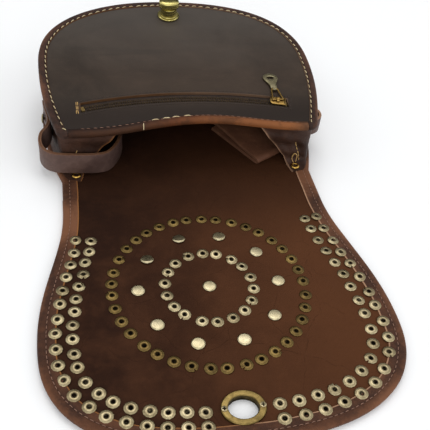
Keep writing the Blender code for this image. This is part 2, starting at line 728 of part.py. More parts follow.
def add_lock_ring():
    """Oval ring on the inner side with a barrel through the leather, its back plate and two screws."""
    ring = place("lock_ring", slab("lock_ring", oval(RING_HALF_LENGTH, RING_HALF_WIDTH), SEAM_GAP,
                                   SEAM_GAP + RING_PLATE), "brass_metal", flap_fold, (0, -RING_FROM_FOLD, 0))
    barrel = slab("ring_barrel", oval(RING_OPENING_LENGTH + RING_BARREL, RING_OPENING_WIDTH + RING_BARREL),
                  -LEATHER - SEAM_GAP - RING_BACK_PLATE, SEAM_GAP + RING_PLATE / 2)
    cut(ring, cutter("ring_barrel", barrel, flap_fold, (0, -RING_FROM_FOLD, 0)), "UNION")
    opening = slab("ring_opening", oval(RING_OPENING_LENGTH, RING_OPENING_WIDTH),
                   -LEATHER - CUT_OVERRUN - CUT_OVERRUN, CUT_OVERRUN + CUT_OVERRUN)
    cut(ring, cutter("ring_opening", opening, flap_fold, (0, -RING_FROM_FOLD, 0)))
    back_top = -LEATHER - SEAM_GAP
    plate = place("lock_back_plate", slab("lock_back_plate", oval(RING_HALF_LENGTH, RING_HALF_WIDTH),
                                          back_top - RING_BACK_PLATE, back_top), "brass_metal", flap_fold,
                  (0, -RING_FROM_FOLD, 0))
    around = RING_BARREL + SEAM_GAP
    through = slab("plate_opening", oval(RING_OPENING_LENGTH + around, RING_OPENING_WIDTH + around),
                   -LEATHER - CUT_OVERRUN - CUT_OVERRUN, CUT_OVERRUN)
    cut(plate, cutter("plate_opening", through, flap_fold, (0, -RING_FROM_FOLD, 0)))
    holes = bmesh.new()
    for side in (-1, 1):
        rod(holes, SCREW_RADIUS + SEAM_GAP, -LEATHER - CUT_OVERRUN - CUT_OVERRUN, CUT_OVERRUN,
            (side * RING_SCREW_PLACE, 0), STUD_SIDES)
    screw_holes = cutter("screw_holes", mesh_from(holes, "screw_holes"), flap_fold, (0, -RING_FROM_FOLD, 0))
    cut(ring, screw_holes)
    cut(plate, screw_holes)
    head_low = SEAM_GAP + RING_PLATE + SEAM_GAP
    profile = [(0, head_low + SCREW_HEAD_HEIGHT), (SCREW_HEAD, head_low + SCREW_HEAD_HEIGHT / 2),
               (SCREW_HEAD, head_low), (SCREW_RADIUS, head_low),
               (SCREW_RADIUS, back_top - RING_BACK_PLATE / 2),
               (0, back_top - RING_BACK_PLATE / 2)]
    mesh = turned("lock_screw", profile, STUD_SIDES)
    for name, side in (("lock_screw_left", -1), ("lock_screw_right", 1)):
        place(name, mesh, "silver_metal", flap_fold, (side * RING_SCREW_PLACE, -RING_FROM_FOLD, 0))


def add_post():
    """Turn-lock post: a flanged stem riveted through the front panel, its washer and its oval knob."""
    flange_top = SEAM_GAP + POST_FLANGE_HEIGHT
    washer_top = -LEATHER - SEAM_GAP
    washer_low = washer_top - POST_WASHER_HEIGHT
    groove_middle = flange_top + POST_STEM_HEIGHT / 2
    profile = [(0, POST_STEM_TOP + SPINDLE_HEIGHT), (SPINDLE_RADIUS, POST_STEM_TOP + SPINDLE_HEIGHT),
               (SPINDLE_RADIUS, POST_STEM_TOP), (POST_STEM - POST_GROOVE, POST_STEM_TOP),
               (POST_STEM, POST_STEM_TOP - POST_GROOVE), (POST_STEM, groove_middle + POST_GROOVE),
               (POST_STEM - POST_GROOVE, groove_middle), (POST_STEM, groove_middle - POST_GROOVE),
               (POST_STEM, flange_top), (POST_FLANGE - POST_GROOVE, flange_top),
               (POST_FLANGE, flange_top - POST_GROOVE), (POST_FLANGE, SEAM_GAP), (POST_TAIL, SEAM_GAP),
               (POST_TAIL, washer_low - POST_TAIL_END), (0, washer_low - POST_TAIL_END)]
    place("post_base", turned("post_base", profile), "brass_metal", front, (0, POST_FROM_MOUTH, 0))
    washer = [(POST_TAIL + SEAM_GAP, washer_top), (POST_WASHER, washer_top), (POST_WASHER, washer_low),
              (POST_TAIL + SEAM_GAP, washer_low), (POST_TAIL + SEAM_GAP, washer_top)]
    place("post_washer", turned("post_washer", washer), "brass_metal", front, (0, POST_FROM_MOUTH, 0))
    knob = place("turn_knob", slab("turn_knob", oval(KNOB_HALF_LENGTH, KNOB_HALF_WIDTH), 0, KNOB_HEIGHT),
                 "brass_metal", front, (0, POST_FROM_MOUTH, KNOB_BASE))
    bevel = knob.modifiers.new("rounded_rim", "BEVEL")
    bevel.width = KNOB_ROUNDING
    bevel.segments = KNOB_ROUNDING_STEPS
    bevel.limit_method = "ANGLE"
    bevel.angle_limit = RIM_ANGLE
    bm = bmesh.new()
    rod(bm, SPINDLE_RADIUS + SEAM_GAP, -CUT_OVERRUN, SPINDLE_HEIGHT, sides=ROUND_SIDES)
    cut(knob, cutter("knob_bore", mesh_from(bm, "knob_bore"), front, (0, POST_FROM_MOUTH, KNOB_BASE)))


def add_zip():
    """Tapes, tooth rows and end stops along the arc, and the pocket bag behind them."""
    tape_half = ZIP_HALF_ANGLE * (1 + ZIP_STOP_LENGTH / ZIP_HALF_LENGTH)
    inner = TEETH_OUTER + SEAM_GAP
    bands = (("zip_tape_bottom_side", inner, inner + TAPE_WIDTH, "dark_tape"),
             ("zip_tape_mouth_side", -inner - TAPE_WIDTH, -inner, "dark_tape"))
    for name, near, far, finish in bands:
        band = slab(name, arc_band(near, far, tape_half), TAPE_TOP - TAPE_THICKNESS, TAPE_TOP)
        place(name, band, finish, front)
    low = TAPE_MIDDLE - TEETH_HEIGHT / 2
    stop_angle = ZIP_STOP_LENGTH / ZIP_RADIUS
    stop_middle = ZIP_HALF_ANGLE - stop_angle / 2 - SEAM_GAP / ZIP_RADIUS
    teeth_half = ZIP_HALF_ANGLE - stop_angle - 2 * SEAM_GAP / ZIP_RADIUS
    rows = (("zip_teeth_bottom_side", TEETH_GAP, TEETH_OUTER),
            ("zip_teeth_mouth_side", -TEETH_OUTER, -TEETH_GAP))
    for name, near, far in rows:
        row = slab(name, arc_band(near, far, teeth_half), low, low + TEETH_HEIGHT)
        place(name, row, "brass_metal", front)
    for name, side in (("zip_stop_left", -1), ("zip_stop_right", 1)):
        outline = arc_band(-TEETH_OUTER, TEETH_OUTER, stop_angle / 2, 2, side * stop_middle)
        place(name, slab(name, outline, low, low + TEETH_HEIGHT), "brass_metal", front)


def add_pocket_bag():
    """Pocket bag behind the zip: a shallow tray of thin leather sewn to the back of the front panel."""
    rim_top = -LEATHER - SEAM_GAP
    floor = rim_top - POCKET_HOLLOW
    middle = POCKET_START + POCKET_LENGTH / 2
    outer = rectangle(POCKET_HALF_WIDTH, POCKET_LENGTH / 2, middle)
    tray = slab("zip_pocket_bag", outer, floor - POCKET_WALL, rim_top)
    bag = place("zip_pocket_bag", tray, "dark_tape", front)
    edge = 2 * POCKET_WALL
    inner = rectangle(POCKET_HALF_WIDTH - edge, POCKET_LENGTH / 2 - edge, middle)
    cut(bag, cutter("pocket_hollow", slab("pocket_hollow", inner, floor, rim_top + CUT_OVERRUN), front))


def add_slider():
    """Zip slider with its bridge, and the wire link and flat tag that hang on it."""
    slider_turn = (0, 0, -SLIDER_ANGLE)
    centre = (ZIP_RADIUS * math.sin(SLIDER_ANGLE), ZIP_CENTRE + ZIP_RADIUS * math.cos(SLIDER_ANGLE), 0)
    seat = frame_empty("slider_frame", centre, slider_turn, front)
    plate_top = SLIDER_LIFT + SLIDER_PLATE
    nose_x = SLIDER_HALF_LENGTH * NOSE_SHARE
    nose_y = SLIDER_HALF_WIDTH * NOSE_SHARE
    shield = [(-SLIDER_HALF_LENGTH, -nose_y), (-nose_x, -SLIDER_HALF_WIDTH),
              (SLIDER_HALF_LENGTH, -SLIDER_HALF_WIDTH), (SLIDER_HALF_LENGTH, SLIDER_HALF_WIDTH),
              (-nose_x, SLIDER_HALF_WIDTH), (-SLIDER_HALF_LENGTH, nose_y)]
    slider = place("zip_slider", slab("zip_slider", shield, SLIDER_LIFT, plate_top), "brass_metal", seat)
    lower = slab("slider_lower", shield, LOWER_PLATE_TOP - SLIDER_PLATE, LOWER_PLATE_TOP)
    column = slab("slider_neck", rectangle(SLIDER_NECK_LENGTH, SLIDER_NECK),
                  LOWER_PLATE_TOP - SLIDER_PLATE / 2, plate_top - SLIDER_PLATE / 2)
    bridge = slab("slider_bridge", rectangle(BRIDGE_HALF_LENGTH, BRIDGE_HALF_SPAN),
                  plate_top - SLIDER_PLATE / 2, plate_top + BRIDGE_HEIGHT)
    eye = slab("bridge_eye", rectangle(BRIDGE_HALF_LENGTH + CUT_OVERRUN, BRIDGE_HALF_SPAN - BRIDGE_WALL),
               plate_top, plate_top + BRIDGE_HEIGHT - BRIDGE_WALL)
    cut(slider, cutter("slider_neck", column, seat), "UNION")
    cut(slider, cutter("slider_lower", lower, seat), "UNION")
    cut(slider, cutter("slider_bridge", bridge, seat), "UNION")
    cut(slider, cutter("bridge_eye", eye, seat))
    link_seat = frame_empty("link_seat", (0, 0, LINK_AXIS), (0, 0, SLIDER_ANGLE), seat)
    link_axis = frame_empty("link_axis", (0, 0, 0), (-LINK_DROP, 0, 0), link_seat)
    wire = [(-LINK_HALF_WIDE, 0), (LINK_HALF_WIDE, 0),
            (LINK_HALF_NARROW, LINK_LENGTH), (-LINK_HALF_NARROW, LINK_LENGTH)]
    place("pull_link", wire_loop("pull_link", wire, LINK_WIRE), "brass_metal", link_axis)
    tag_axis = frame_empty("tag_axis", (0, LINK_LENGTH, 0), (LINK_DROP - TAG_DROP, 0, 0), link_axis)
    place("pull_tag", tag_mesh(), "brass_metal", tag_axis)


def wire_loop(name, corners, radius):
    """A closed loop of wire through the corners, as a bevelled curve made a mesh."""
    curve, holder = closed_curve(name, corners, "3D")
    curve.bevel_depth = radius
    curve.bevel_resolution = 1
    bm = bmesh.new()
    bm.from_mesh(final_mesh(holder))
    bmesh.ops.remove_doubles(bm, verts=bm.verts, dist=WELD)
    return mesh_from(bm, name)


def tag_mesh():
    """Flat teardrop tag with an oval hole near its round end and a curled eye round the link's wire."""
    middle = TAG_LENGTH - TAG_HALF_WIDTH
    root = TAG_BORE + TAG_EYE / 2
    shoulder = TAG_NECK_START + TAG_EYE
    outline = [(-TAG_TAB, root), (TAG_TAB, root), (TAG_TAB, TAG_NECK_START), (TAG_NECK, shoulder)]
    for angle in half_circle():
        outline.append((-TAG_HALF_WIDTH * math.sin(angle), middle + TAG_HALF_WIDTH * math.cos(angle)))
    outline += [(-TAG_NECK, shoulder), (-TAG_TAB, TAG_NECK_START)]
    high = TAG_THICKNESS / 2
    tag = cutter("tag_blank", slab("pull_tag", outline, -high, high))
    curl_half = TAG_TAB - TAG_EYE / 2
    curl_radius = TAG_BORE + TAG_EYE
    section = [(0, curl_half), (curl_radius, curl_half), (curl_radius, -curl_half), (0, -curl_half)]
    curl = turned("tag_curl", section, SMALL_SIDES)
    bore = bmesh.new()
    rod(bore, TAG_BORE, -TAG_TAB - CUT_OVERRUN, TAG_TAB + CUT_OVERRUN, sides=SMALL_SIDES)
    hole = slab("tag_hole", oval(TAG_HOLE_LENGTH, TAG_HOLE_WIDTH, (0, middle)), -high - CUT_OVERRUN,
                high + CUT_OVERRUN)
    cut(tag, cutter("tag_curl", curl, turn=(0, QUARTER, 0)), "UNION")
    cut(tag, cutter("tag_bore", mesh_from(bore, "tag_bore"), turn=(0, QUARTER, 0)))
    cut(tag, cutter("tag_hole", hole))
    return final_mesh(tag)


def add_eyelets():
    """Small tubular eyelets that pin the gusset's top corners to the back panel."""
    low = LEATHER_TOP + SEAM_GAP
    high = low + EYELET_FLANGE
    profile = [(EYELET_HOLE, high), (EYELET_RADIUS, (low + high) / 2), (EYELET_RADIUS, low),
               (EYELET_HOLE, low), (EYELET_HOLE, high)]
    mesh = turned("neck_eyelet", profile, SMALL_SIDES)
    for name, side in (("neck_eyelet_left", -1), ("neck_eyelet_right", 1)):
        x = side * (NECK_HALF_WIDTH - EYELET_FROM_EDGE)
        place(name, mesh, "brass_metal", back, (x, EYELET_FROM_FOLD, 0))


def strap_ring(centre, along, up, width):
    """Rectangular section of the strap at a place, square to its run."""
    across = along.cross(up).normalized()
    half_width = up.normalized() * (width / 2)
    half_thick = across * (STRAP_THICKNESS / 2)
    return [centre + half_width + half_thick, centre - half_width + half_thick,
            centre - half_width - half_thick, centre + half_width - half_thick]


def strap_from(name, centres, up, width, location=(0, 0, 0), turn=(0, 0, 0)):
    """A stretch of strap carried through its centres, with its width along up."""
    rings = []
    for i, centre in enumerate(centres):
        along = centres[min(i + 1, len(centres) - 1)] - centres[max(i - 1, 0)]
        rings.append(strap_ring(centre, along - up * along.dot(up), up, width))
    place(name, loft(name, rings), "strap_leather", back, location, turn)


def add_strap():
    """Shoulder strap: the left run on its edge, the wide stretch folded at the mouth, the rest stowed."""
    half_thick = STRAP_THICKNESS / 2
    route = [(-gusset_wall(place_y) - half_thick, place_y, STRAP_SIDE_HEIGHT) for place_y in STRAP_SIDE]
    route += [(inwards - BODY_HALF_WIDTH, y, z) for inwards, y, z in STRAP_DROP]
    route += [(inwards - BODY_HALF_WIDTH, y, STRAP_MIDDLE) for inwards, y in STRAP_LOOP]
    strap_from("strap_left_run", [Vector(point) for point in route], Vector((0, 0, 1)), STRAP_WIDTH)

    low = LEATHER_TOP + STRAP_CLEARANCE + half_thick
    fold = [math.pi * i / BEND_STEPS for i in range(BEND_STEPS + 1)]
    centres = [Vector((0, SHOULDER_LOWER, low))]
    for angle in fold:
        rise = SHOULDER_BEND * (1 - math.cos(angle))
        centres.append(Vector((0, -SHOULDER_BEND * math.sin(angle), low + rise)))
    centres.append(Vector((0, SHOULDER_UPPER, low + 2 * SHOULDER_BEND)))
    strap_from("strap_shoulder", centres, Vector((1, 0, 0)), STRAP_WIDE, (SHOULDER_TIP_X, SHOULDER_TIP_Y, 0),
               (0, 0, SHOULDER_TURN))

    radius = STRAP_LAYER_STEP / 2
    centres = []
    for layer in range(STRAP_LAYERS):
        side = -1 if layer % 2 else 1
        height = low + layer * STRAP_LAYER_STEP
        centres.append(Vector((-side * STRAP_RUN / 2, 0, height)))
        centres.append(Vector((side * STRAP_RUN / 2, 0, height)))
        if layer < STRAP_LAYERS - 1:
            for share in TURN_SHARES:
                reach = STRAP_RUN / 2 + radius * math.sin(math.pi * share)
                rise = radius * (1 - math.cos(math.pi * share))
                centres.append(Vector((side * reach, 0, height + rise)))
    strap_from("strap_stowed", centres, Vector((0, 1, 0)), STRAP_WIDTH, (0, STRAP_STOW, 0))


def wall_slope(distance, step):
    """Angle at which the gusset's wall leans out there, taken over a step of it."""
    return math.atan2(gusset_wall(distance + step) - gusset_wall(distance), step)


def add_side_fittings():
    """Rivet of the strap's sewn end on the left, and the leather loop on the right side."""
    outside = gusset_wall(STRAP_SIDE[1]) + STRAP_THICKNESS + STRAP_CLEARANCE
    lean = wall_slope(STRAP_SIDE[1], STRAP_RIVET)
    profile = [(0, STRAP_RIVET_CAP), (STRAP_RIVET * CROWN_SHARE, STRAP_RIVET_CAP), (STRAP_RIVET, 0), (0, 0)]
    place("strap_rivet", turned("strap_rivet", profile, SMALL_SIDES), "silver_metal", back,
          (-outside, STRAP_SIDE[1], STRAP_SIDE_HEIGHT), (0, -QUARTER, lean))
    wall = gusset_wall(LOOP_FROM_MOUTH) - LOOP_SEAT
    slope = wall_slope(LOOP_FROM_MOUTH, LOOP_WALL)
    outer = [(LOOP_REACH * math.cos(a), LOOP_HALF_LENGTH * math.sin(a)) for a in half_circle()]
    depth = LOOP_REACH - LOOP_WALL - LOOP_BACK
    width = LOOP_HALF_LENGTH - LOOP_WALL
    inner = [(LOOP_BACK + depth * math.cos(a), width * math.sin(a)) for a in half_circle()]
    band = slab("side_loop", outer, LOOP_MIDDLE - LOOP_HEIGHT / 2, LOOP_MIDDLE + LOOP_HEIGHT / 2)
    loop = place("side_loop", band, "strap_leather", back, (wall, LOOP_FROM_MOUTH, 0), (0, 0, -slope))
    hole = slab("loop_hole", inner, LOOP_MIDDLE - LOOP_HEIGHT, LOOP_MIDDLE + LOOP_HEIGHT)
    cut(loop, cutter("loop_hole", hole, back, (wall, LOOP_FROM_MOUTH, 0), (0, 0, -slope)))


add_back_panel()
add_front_panel()
add_gusset()
add_flap_root()
add_flap_panel()
add_studs()
add_lock_ring()
add_post()
add_zip()
add_pocket_bag()
add_slider()
add_eyelets()
add_strap()
add_side_fittings()
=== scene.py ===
"""Riveted leather saddle bag, open on its back with the flap folded out: its surfaces and finishes.

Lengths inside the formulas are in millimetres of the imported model's frame; every mesh is made in metres.
"""
import math

import bpy
import numpy as np
from mathutils import Matrix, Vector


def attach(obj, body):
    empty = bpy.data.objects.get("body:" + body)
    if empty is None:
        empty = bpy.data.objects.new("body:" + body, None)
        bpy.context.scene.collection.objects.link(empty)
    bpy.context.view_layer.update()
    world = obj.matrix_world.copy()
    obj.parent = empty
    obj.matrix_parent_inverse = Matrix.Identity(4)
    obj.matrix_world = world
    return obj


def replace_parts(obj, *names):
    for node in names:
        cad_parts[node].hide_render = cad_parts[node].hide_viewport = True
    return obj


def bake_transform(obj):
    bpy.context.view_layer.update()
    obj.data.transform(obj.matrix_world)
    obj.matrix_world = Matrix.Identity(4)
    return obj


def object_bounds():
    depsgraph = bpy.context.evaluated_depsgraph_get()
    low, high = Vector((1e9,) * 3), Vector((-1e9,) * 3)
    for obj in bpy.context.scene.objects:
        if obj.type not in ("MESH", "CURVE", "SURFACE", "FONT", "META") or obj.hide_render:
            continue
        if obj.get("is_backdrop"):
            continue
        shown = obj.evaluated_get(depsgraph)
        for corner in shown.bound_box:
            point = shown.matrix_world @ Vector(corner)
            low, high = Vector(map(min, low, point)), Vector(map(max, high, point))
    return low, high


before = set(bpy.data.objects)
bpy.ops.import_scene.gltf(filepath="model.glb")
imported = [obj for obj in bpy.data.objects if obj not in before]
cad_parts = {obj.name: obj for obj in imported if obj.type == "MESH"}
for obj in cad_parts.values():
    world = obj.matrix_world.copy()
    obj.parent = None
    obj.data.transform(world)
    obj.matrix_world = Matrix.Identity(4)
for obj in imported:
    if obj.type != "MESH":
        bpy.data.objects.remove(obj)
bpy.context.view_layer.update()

# The table and its light. The bag was photographed on plain white, from the flap's end, a little to
# the left and about forty degrees up. A big soft window lights it from above and behind, the room's pale
# walls stand round it, and one dark wall far behind shows only in the metal.
FLOOR_HALF = 12.0
WALL_HALF_WIDTH, WALL_FAR, WALL_FOOT, WALL_TOP = 1.1, 0.95, 0.2, 1.06
SKY_TINT, SKY_LEVEL = (0.96, 0.98, 1.0, 1), 0.6
LAMP_SHINE = 0.33
EYE = np.array([-95.3, -426.1, 393.7]) / 1000
HEADING = math.radians(15.1)
PITCH = math.radians(43.0)
ROLL = math.radians(7.23)
FOCAL_PIXELS = 681.0
PHOTO_PIXELS = 430.0


def linear(red, green, blue):
    """A screen colour, 0 to 255, as the linear colour that a shader takes."""
    share = np.array([red, green, blue]) / 255
    return np.where(share <= 0.04045, share / 12.92, ((share + 0.055) / 1.055) ** 2.4)


class Wire:
    """One output socket in a finish's node tree. Sums and products of it add Math nodes."""

    def __init__(self, finish, socket):
        self.finish, self.socket = finish, socket

    def math(self, operation, *values):
        return self.finish.node("ShaderNodeMath", {"operation": operation}, *values)

    def __add__(self, other):
        return self.math("ADD", self, other)

    def __sub__(self, other):
        return self.math("SUBTRACT", self, other)

    def __rsub__(self, other):
        return self.math("SUBTRACT", other, self)

    def __mul__(self, other):
        return self.math("MULTIPLY", self, other)

    __radd__, __rmul__ = __add__, __mul__

    def clamp(self):
        return self.finish.node("ShaderNodeClamp", {}, self, 0.0, 1.0)

    def band(self, low, high):
        """0 below low, 1 above high and a smooth step between them."""
        settings = {"interpolation_type": "SMOOTHSTEP"}
        return self.finish.node("ShaderNodeMapRange", settings, self, low, high, 0.0, 1.0)


class Finish:
    """A material with a Principled shader: node() adds a node, paint() links or sets its inputs."""

    def __init__(self, name):
        self.material = bpy.data.materials.new(name)
        self.material.use_nodes = True
        self.tree = self.material.node_tree
        self.shader = self.tree.nodes["Principled BSDF"]

    def node(self, kind, settings, *values, out=0, **named):
        """A node of that kind: its settings first, then its sockets' values or links, by place or by name."""
        made = self.tree.nodes.new(kind)
        for key, value in settings.items():
            if key == "stops":
                for index, (place, colour) in enumerate(value):
                    elements = made.color_ramp.elements
                    stop = elements[index] if index < len(elements) else elements.new(place)
                    stop.position, stop.color = place, (*colour, 1)
            else:
                setattr(made, key, value)
        pairs = list(zip(made.inputs, values)) + [(made.inputs[key], value) for key, value in named.items()]
        for socket, value in pairs:
            self.feed(socket, value)
        return Wire(self, made.outputs[out])

    def feed(self, socket, value):
        if isinstance(value, Wire):
            self.tree.links.new(value.socket, socket)
        elif value is not None:
            wide = hasattr(socket.default_value, "__len__") and len(socket.default_value) == 4
            socket.default_value = (*value, 1) if wide and len(value) == 3 else value

    def paint(self, **inputs):
        for key, value in inputs.items():
            self.feed(self.shader.inputs[key.replace("_", " ")], value)
        return self.material

    def attribute(self, name, out=2):
        """A value that the mesh carries at each point: out 1 is its vector and 2 its number."""
        return self.node("ShaderNodeAttribute", {"attribute_name": name}, out=out)

    def mix(self, share, first, second):
        """The first colour at share 0 and the second at 1."""
        made = self.tree.nodes.new("ShaderNodeMix")
        made.data_type = "RGBA"
        for index, value in ((0, share), (6, first), (7, second)):
            self.feed(made.inputs[index], value)
        return Wire(self, made.outputs[2])

    def noise(self, where, scale, detail=3.0, rough=0.55, warp=0.0):
        return self.node("ShaderNodeTexNoise", {}, Vector=where, Scale=scale, Detail=detail, Roughness=rough,
                         Distortion=warp)

    def bump(self, height, depth):
        return self.node("ShaderNodeBump", {}, Height=height, Distance=depth, Strength=1.0)


def pale_world():
    """A world that lights softly and shows as plain white to the camera and in mirrors."""
    world = bpy.data.worlds.new("room")
    bpy.context.scene.world = world
    world.use_nodes = True
    nodes, links = world.node_tree.nodes, world.node_tree.links
    dim, white = nodes["Background"], nodes.new("ShaderNodeBackground")
    dim.inputs[0].default_value, dim.inputs[1].default_value = SKY_TINT, SKY_LEVEL
    white.inputs[0].default_value, white.inputs[1].default_value = (1, 1, 1, 1), 1.0
    path, pick = nodes.new("ShaderNodeLightPath"), nodes.new("ShaderNodeMixShader")
    seen = path.outputs["Is Camera Ray"]
    for ray in ("Is Glossy Ray", "Is Transmission Ray"):
        either = nodes.new("ShaderNodeMath")
        either.operation = "MAXIMUM"
        links.new(seen, either.inputs[0])
        links.new(path.outputs[ray], either.inputs[1])
        seen = either.outputs[0]
    links.new(seen, pick.inputs[0])
    links.new(dim.outputs[0], pick.inputs[1])
    links.new(white.outputs[0], pick.inputs[2])
    links.new(pick.outputs[0], nodes["World Output"].inputs[0])


def unit(vectors):
    """Each vector, along the last axis, at length 1."""
    return vectors / np.linalg.norm(vectors, axis=-1, keepdims=True)


def soft_lamp(name, place, side, watts):
    """A square area lamp at a place, in metres, that faces the bag. Mirrors show it at a third."""
    lamp = bpy.data.lights.new(name, "AREA")
    lamp.specular_factor = LAMP_SHINE
    lamp.size, lamp.energy = side, watts
    holder = bpy.data.objects.new(name, lamp)
    bpy.context.scene.collection.objects.link(holder)
    away = unit(np.array(place))
    across = unit(np.cross([0, 0, 1.0], away))
    turn = np.column_stack([across, np.cross(away, across), away])
    holder.matrix_world = Matrix.Translation(place) @ Matrix(turn.tolist()).to_4x4()


def photo_camera():
    """The photograph's camera: heading from +Y towards +X, pitch down and roll about its own axis."""
    level = np.array([math.cos(HEADING), -math.sin(HEADING), 0])
    forward = np.array([math.sin(HEADING), math.cos(HEADING), 0])
    ahead = forward * math.cos(PITCH) - np.array([0, 0, math.sin(PITCH)])
    over = np.cross(level, ahead)
    right = level * math.cos(ROLL) + over * math.sin(ROLL)
    up = over * math.cos(ROLL) - level * math.sin(ROLL)
    camera = bpy.data.cameras.new("photo_camera")
    camera.sensor_width = 36
    camera.lens = FOCAL_PIXELS / PHOTO_PIXELS * camera.sensor_width
    holder = bpy.data.objects.new("photo_camera", camera)
    bpy.context.scene.collection.objects.link(holder)
    turn = Matrix(np.column_stack([right, up, -ahead]).tolist())
    holder.matrix_world = Matrix.Translation(EYE) @ turn.to_4x4()
    bpy.context.scene.camera = holder


def stage_sheet(name, half_width, low, high, paint, colour, rough):
    """A flat sheet of the stage in matt paint, from one (y, z) to another and half_width to each side."""
    mesh = bpy.data.meshes.new(name)
    corners = [(side * half_width, *at) for side, at in ((-1, low), (1, low), (1, high), (-1, high))]
    mesh.from_pydata(corners, [], [(0, 1, 2, 3)])
    sheet = bpy.data.objects.new(name, mesh)
    bpy.context.scene.collection.objects.link(sheet)
    mesh.materials.append(Finish(paint).paint(Base_Color=colour, Roughness=rough))
    return sheet


pale_world()
photo_camera()
for lamp in (("window", (0.1, 0.75, 2.0), 1.3, 13), ("room_left", (-1.6, 0.1, 1.3), 1.4, 3),
             ("room_right", (1.6, -0.5, 1.3), 1.4, 6), ("room_front", (-0.3, -1.7, 0.9), 1.4, 11)):
    soft_lamp(*lamp)
bpy.context.scene.view_settings.view_transform = "Standard"

table = stage_sheet("table", FLOOR_HALF, (-FLOOR_HALF, 0), (FLOOR_HALF, 0), "table_white",
                    (0.98, 0.98, 0.98), 0.8)
table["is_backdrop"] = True
card = stage_sheet("room_wall", WALL_HALF_WIDTH, (WALL_FAR, WALL_FOOT), (WALL_FAR, WALL_TOP), "room_dark",
                   (0.05, 0.05, 0.045), 1.0)
card.visible_camera = card.visible_diffuse = card.visible_shadow = card.visible_transmission = False
card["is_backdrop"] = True

# The flap: one wide piece of oiled cowhide, flesh side up here, with a strip of it running on under the
# mouth. It lies in shallow waves, and an oval hole is punched near its tip for the turn lock's ring.
RING_Y = -203.815
FOLD_ONE, FOLD_TWO = 29.396, -21.515
SEAM_Y = 5.0
LEATHER_TOP, LEATHER = 3.9, 2.4
PANEL_INSET = 2.2
FLAP_HALF_WIDTH, FLAP_WAIST, FLAP_SHOULDER, FLAP_FLARE = 130.7, 19.5, 67, 128
FLAP_END, FLAP_POWER = 91.5, 2.6
RING_HOLE = 11.6, 9.6


def quarter_oval(half_width, length, power, steps):
    """A superellipse from (half_width, 0) to (0, length), without its first point."""
    turn = np.linspace(0, np.pi / 2, steps)[1:]
    return np.column_stack([half_width * np.cos(turn) ** (2 / power), length * np.sin(turn) ** (2 / power)])


def flap_edge(steps=500):
    """Right half of the flap's outline, first fold to tip: a cosine flare, then a superellipse."""
    down = np.linspace(FOLD_ONE - RING_Y, FLAP_SHOULDER, steps)
    share = np.clip((down - FLAP_SHOULDER) / FLAP_FLARE, 0, 1)
    side = np.column_stack([FLAP_HALF_WIDTH - FLAP_WAIST * (1 - np.cos(np.pi * share)) / 2, down])
    end = quarter_oval(FLAP_HALF_WIDTH, -FLAP_END, FLAP_POWER, steps) + [0, FLAP_SHOULDER]
    return np.vstack([side, end]) + [0, RING_Y]


def run_of(path):
    """The distance along a path to each of its points."""
    return np.concatenate([[0], np.cumsum(np.linalg.norm(np.diff(path, axis=0), axis=1))])


def spaced(path, step=None, count=None):
    """The path again with its points an even distance apart."""
    run = run_of(path)
    count = count or max(2, int(round(run[-1] / step)) + 1)
    places = np.linspace(0, run[-1], count)
    return np.column_stack([np.interp(places, run, column) for column in path.T])


def left_normals(path):
    """Unit vectors to the left of a plane path's direction at each of its points."""
    ahead = unit(np.gradient(path, axis=0))
    return np.column_stack([-ahead[:, 1], ahead[:, 0]])


def rise(value, low, high):
    """0 below low, 1 above high, and the cubic step 3t^2 - 2t^3 between them."""
    t = np.clip((value - low) / (high - low), 0, 1)
    return t * t * (3 - 2 * t)


def flap_lift(x, y):
    """How far the flap's leather stands up from flat: slow sines, none at the folds or the lock ring."""
    waves = 0.55 + 0.3 * np.sin(x / 36 + 0.7) * np.cos(y / 41) + 0.22 * np.sin(x / 21 - y / 29 + 1)
    edges = 0.5 * rise(np.abs(x), 80, 128) * rise(-y, 40, 110)
    still = rise(FOLD_TWO - y, 6, 40) * rise(np.hypot(x, y - RING_Y), 17, 45)
    return np.maximum(waves + edges, 0) * still


def grid(x, y, z):
    """Points from their coordinates, which are broadcast together."""
    return np.stack(np.broadcast_arrays(x, y, z), axis=-1)


def flap_normal(x, y, step=2.0):
    """The unit normal of the flap's waved surface, from central differences."""
    slope_x = (flap_lift(x + step, y) - flap_lift(x - step, y)) / (2 * step)
    slope_y = (flap_lift(x, y + step) - flap_lift(x, y - step)) / (2 * step)
    return unit(grid(-slope_x, -slope_y, 1.0))


def quads(rows, columns, wrap_rows=False, wrap_columns=False):
    """Faces between the neighbours of a grid of points that is numbered row by row."""
    row = np.arange(rows if wrap_rows else rows - 1)[:, None]
    column = np.arange(columns if wrap_columns else columns - 1)[None, :]
    next_row, next_column = (row + 1) % rows, (column + 1) % columns
    corners = [row * columns + column, next_row * columns + column, next_row * columns + next_column,
               row * columns + next_column]
    return np.stack([np.broadcast_to(c, (row.size, column.size)) for c in corners], axis=-1).reshape(-1, 4)


def piece(name, points, faces, finish, marks=None, outward=True, sharp=40):
    """A mesh object from points in millimetres. marks are values for its points, such as wear or raw."""
    mesh = bpy.data.meshes.new(name)
    points = np.asarray(points, float) / 1000
    faces = [tuple(face) for face in np.asarray(faces, object).tolist()]
    mesh.from_pydata(points.reshape(-1, 3).tolist(), [], faces)
    made = bpy.data.objects.new(name, mesh)
    bpy.context.scene.collection.objects.link(made)
    for key, value in ({"lay": points} | (marks or {})).items():
        wide = np.shape(value) == points.shape
        kind, field = ("FLOAT_VECTOR", "vector") if wide else ("FLOAT", "value")
        value = np.broadcast_to(value, points.shape if wide else points.shape[:-1]).astype(np.float32)
        mesh.attributes.new(key, kind, "POINT").data.foreach_set(field, value.ravel())
    if outward:
        turn_outward(mesh)
    mesh.shade_smooth()
    if sharp:
        mesh.set_sharp_from_angle(angle=math.radians(sharp))
    mesh.materials.append(finish)
    return made


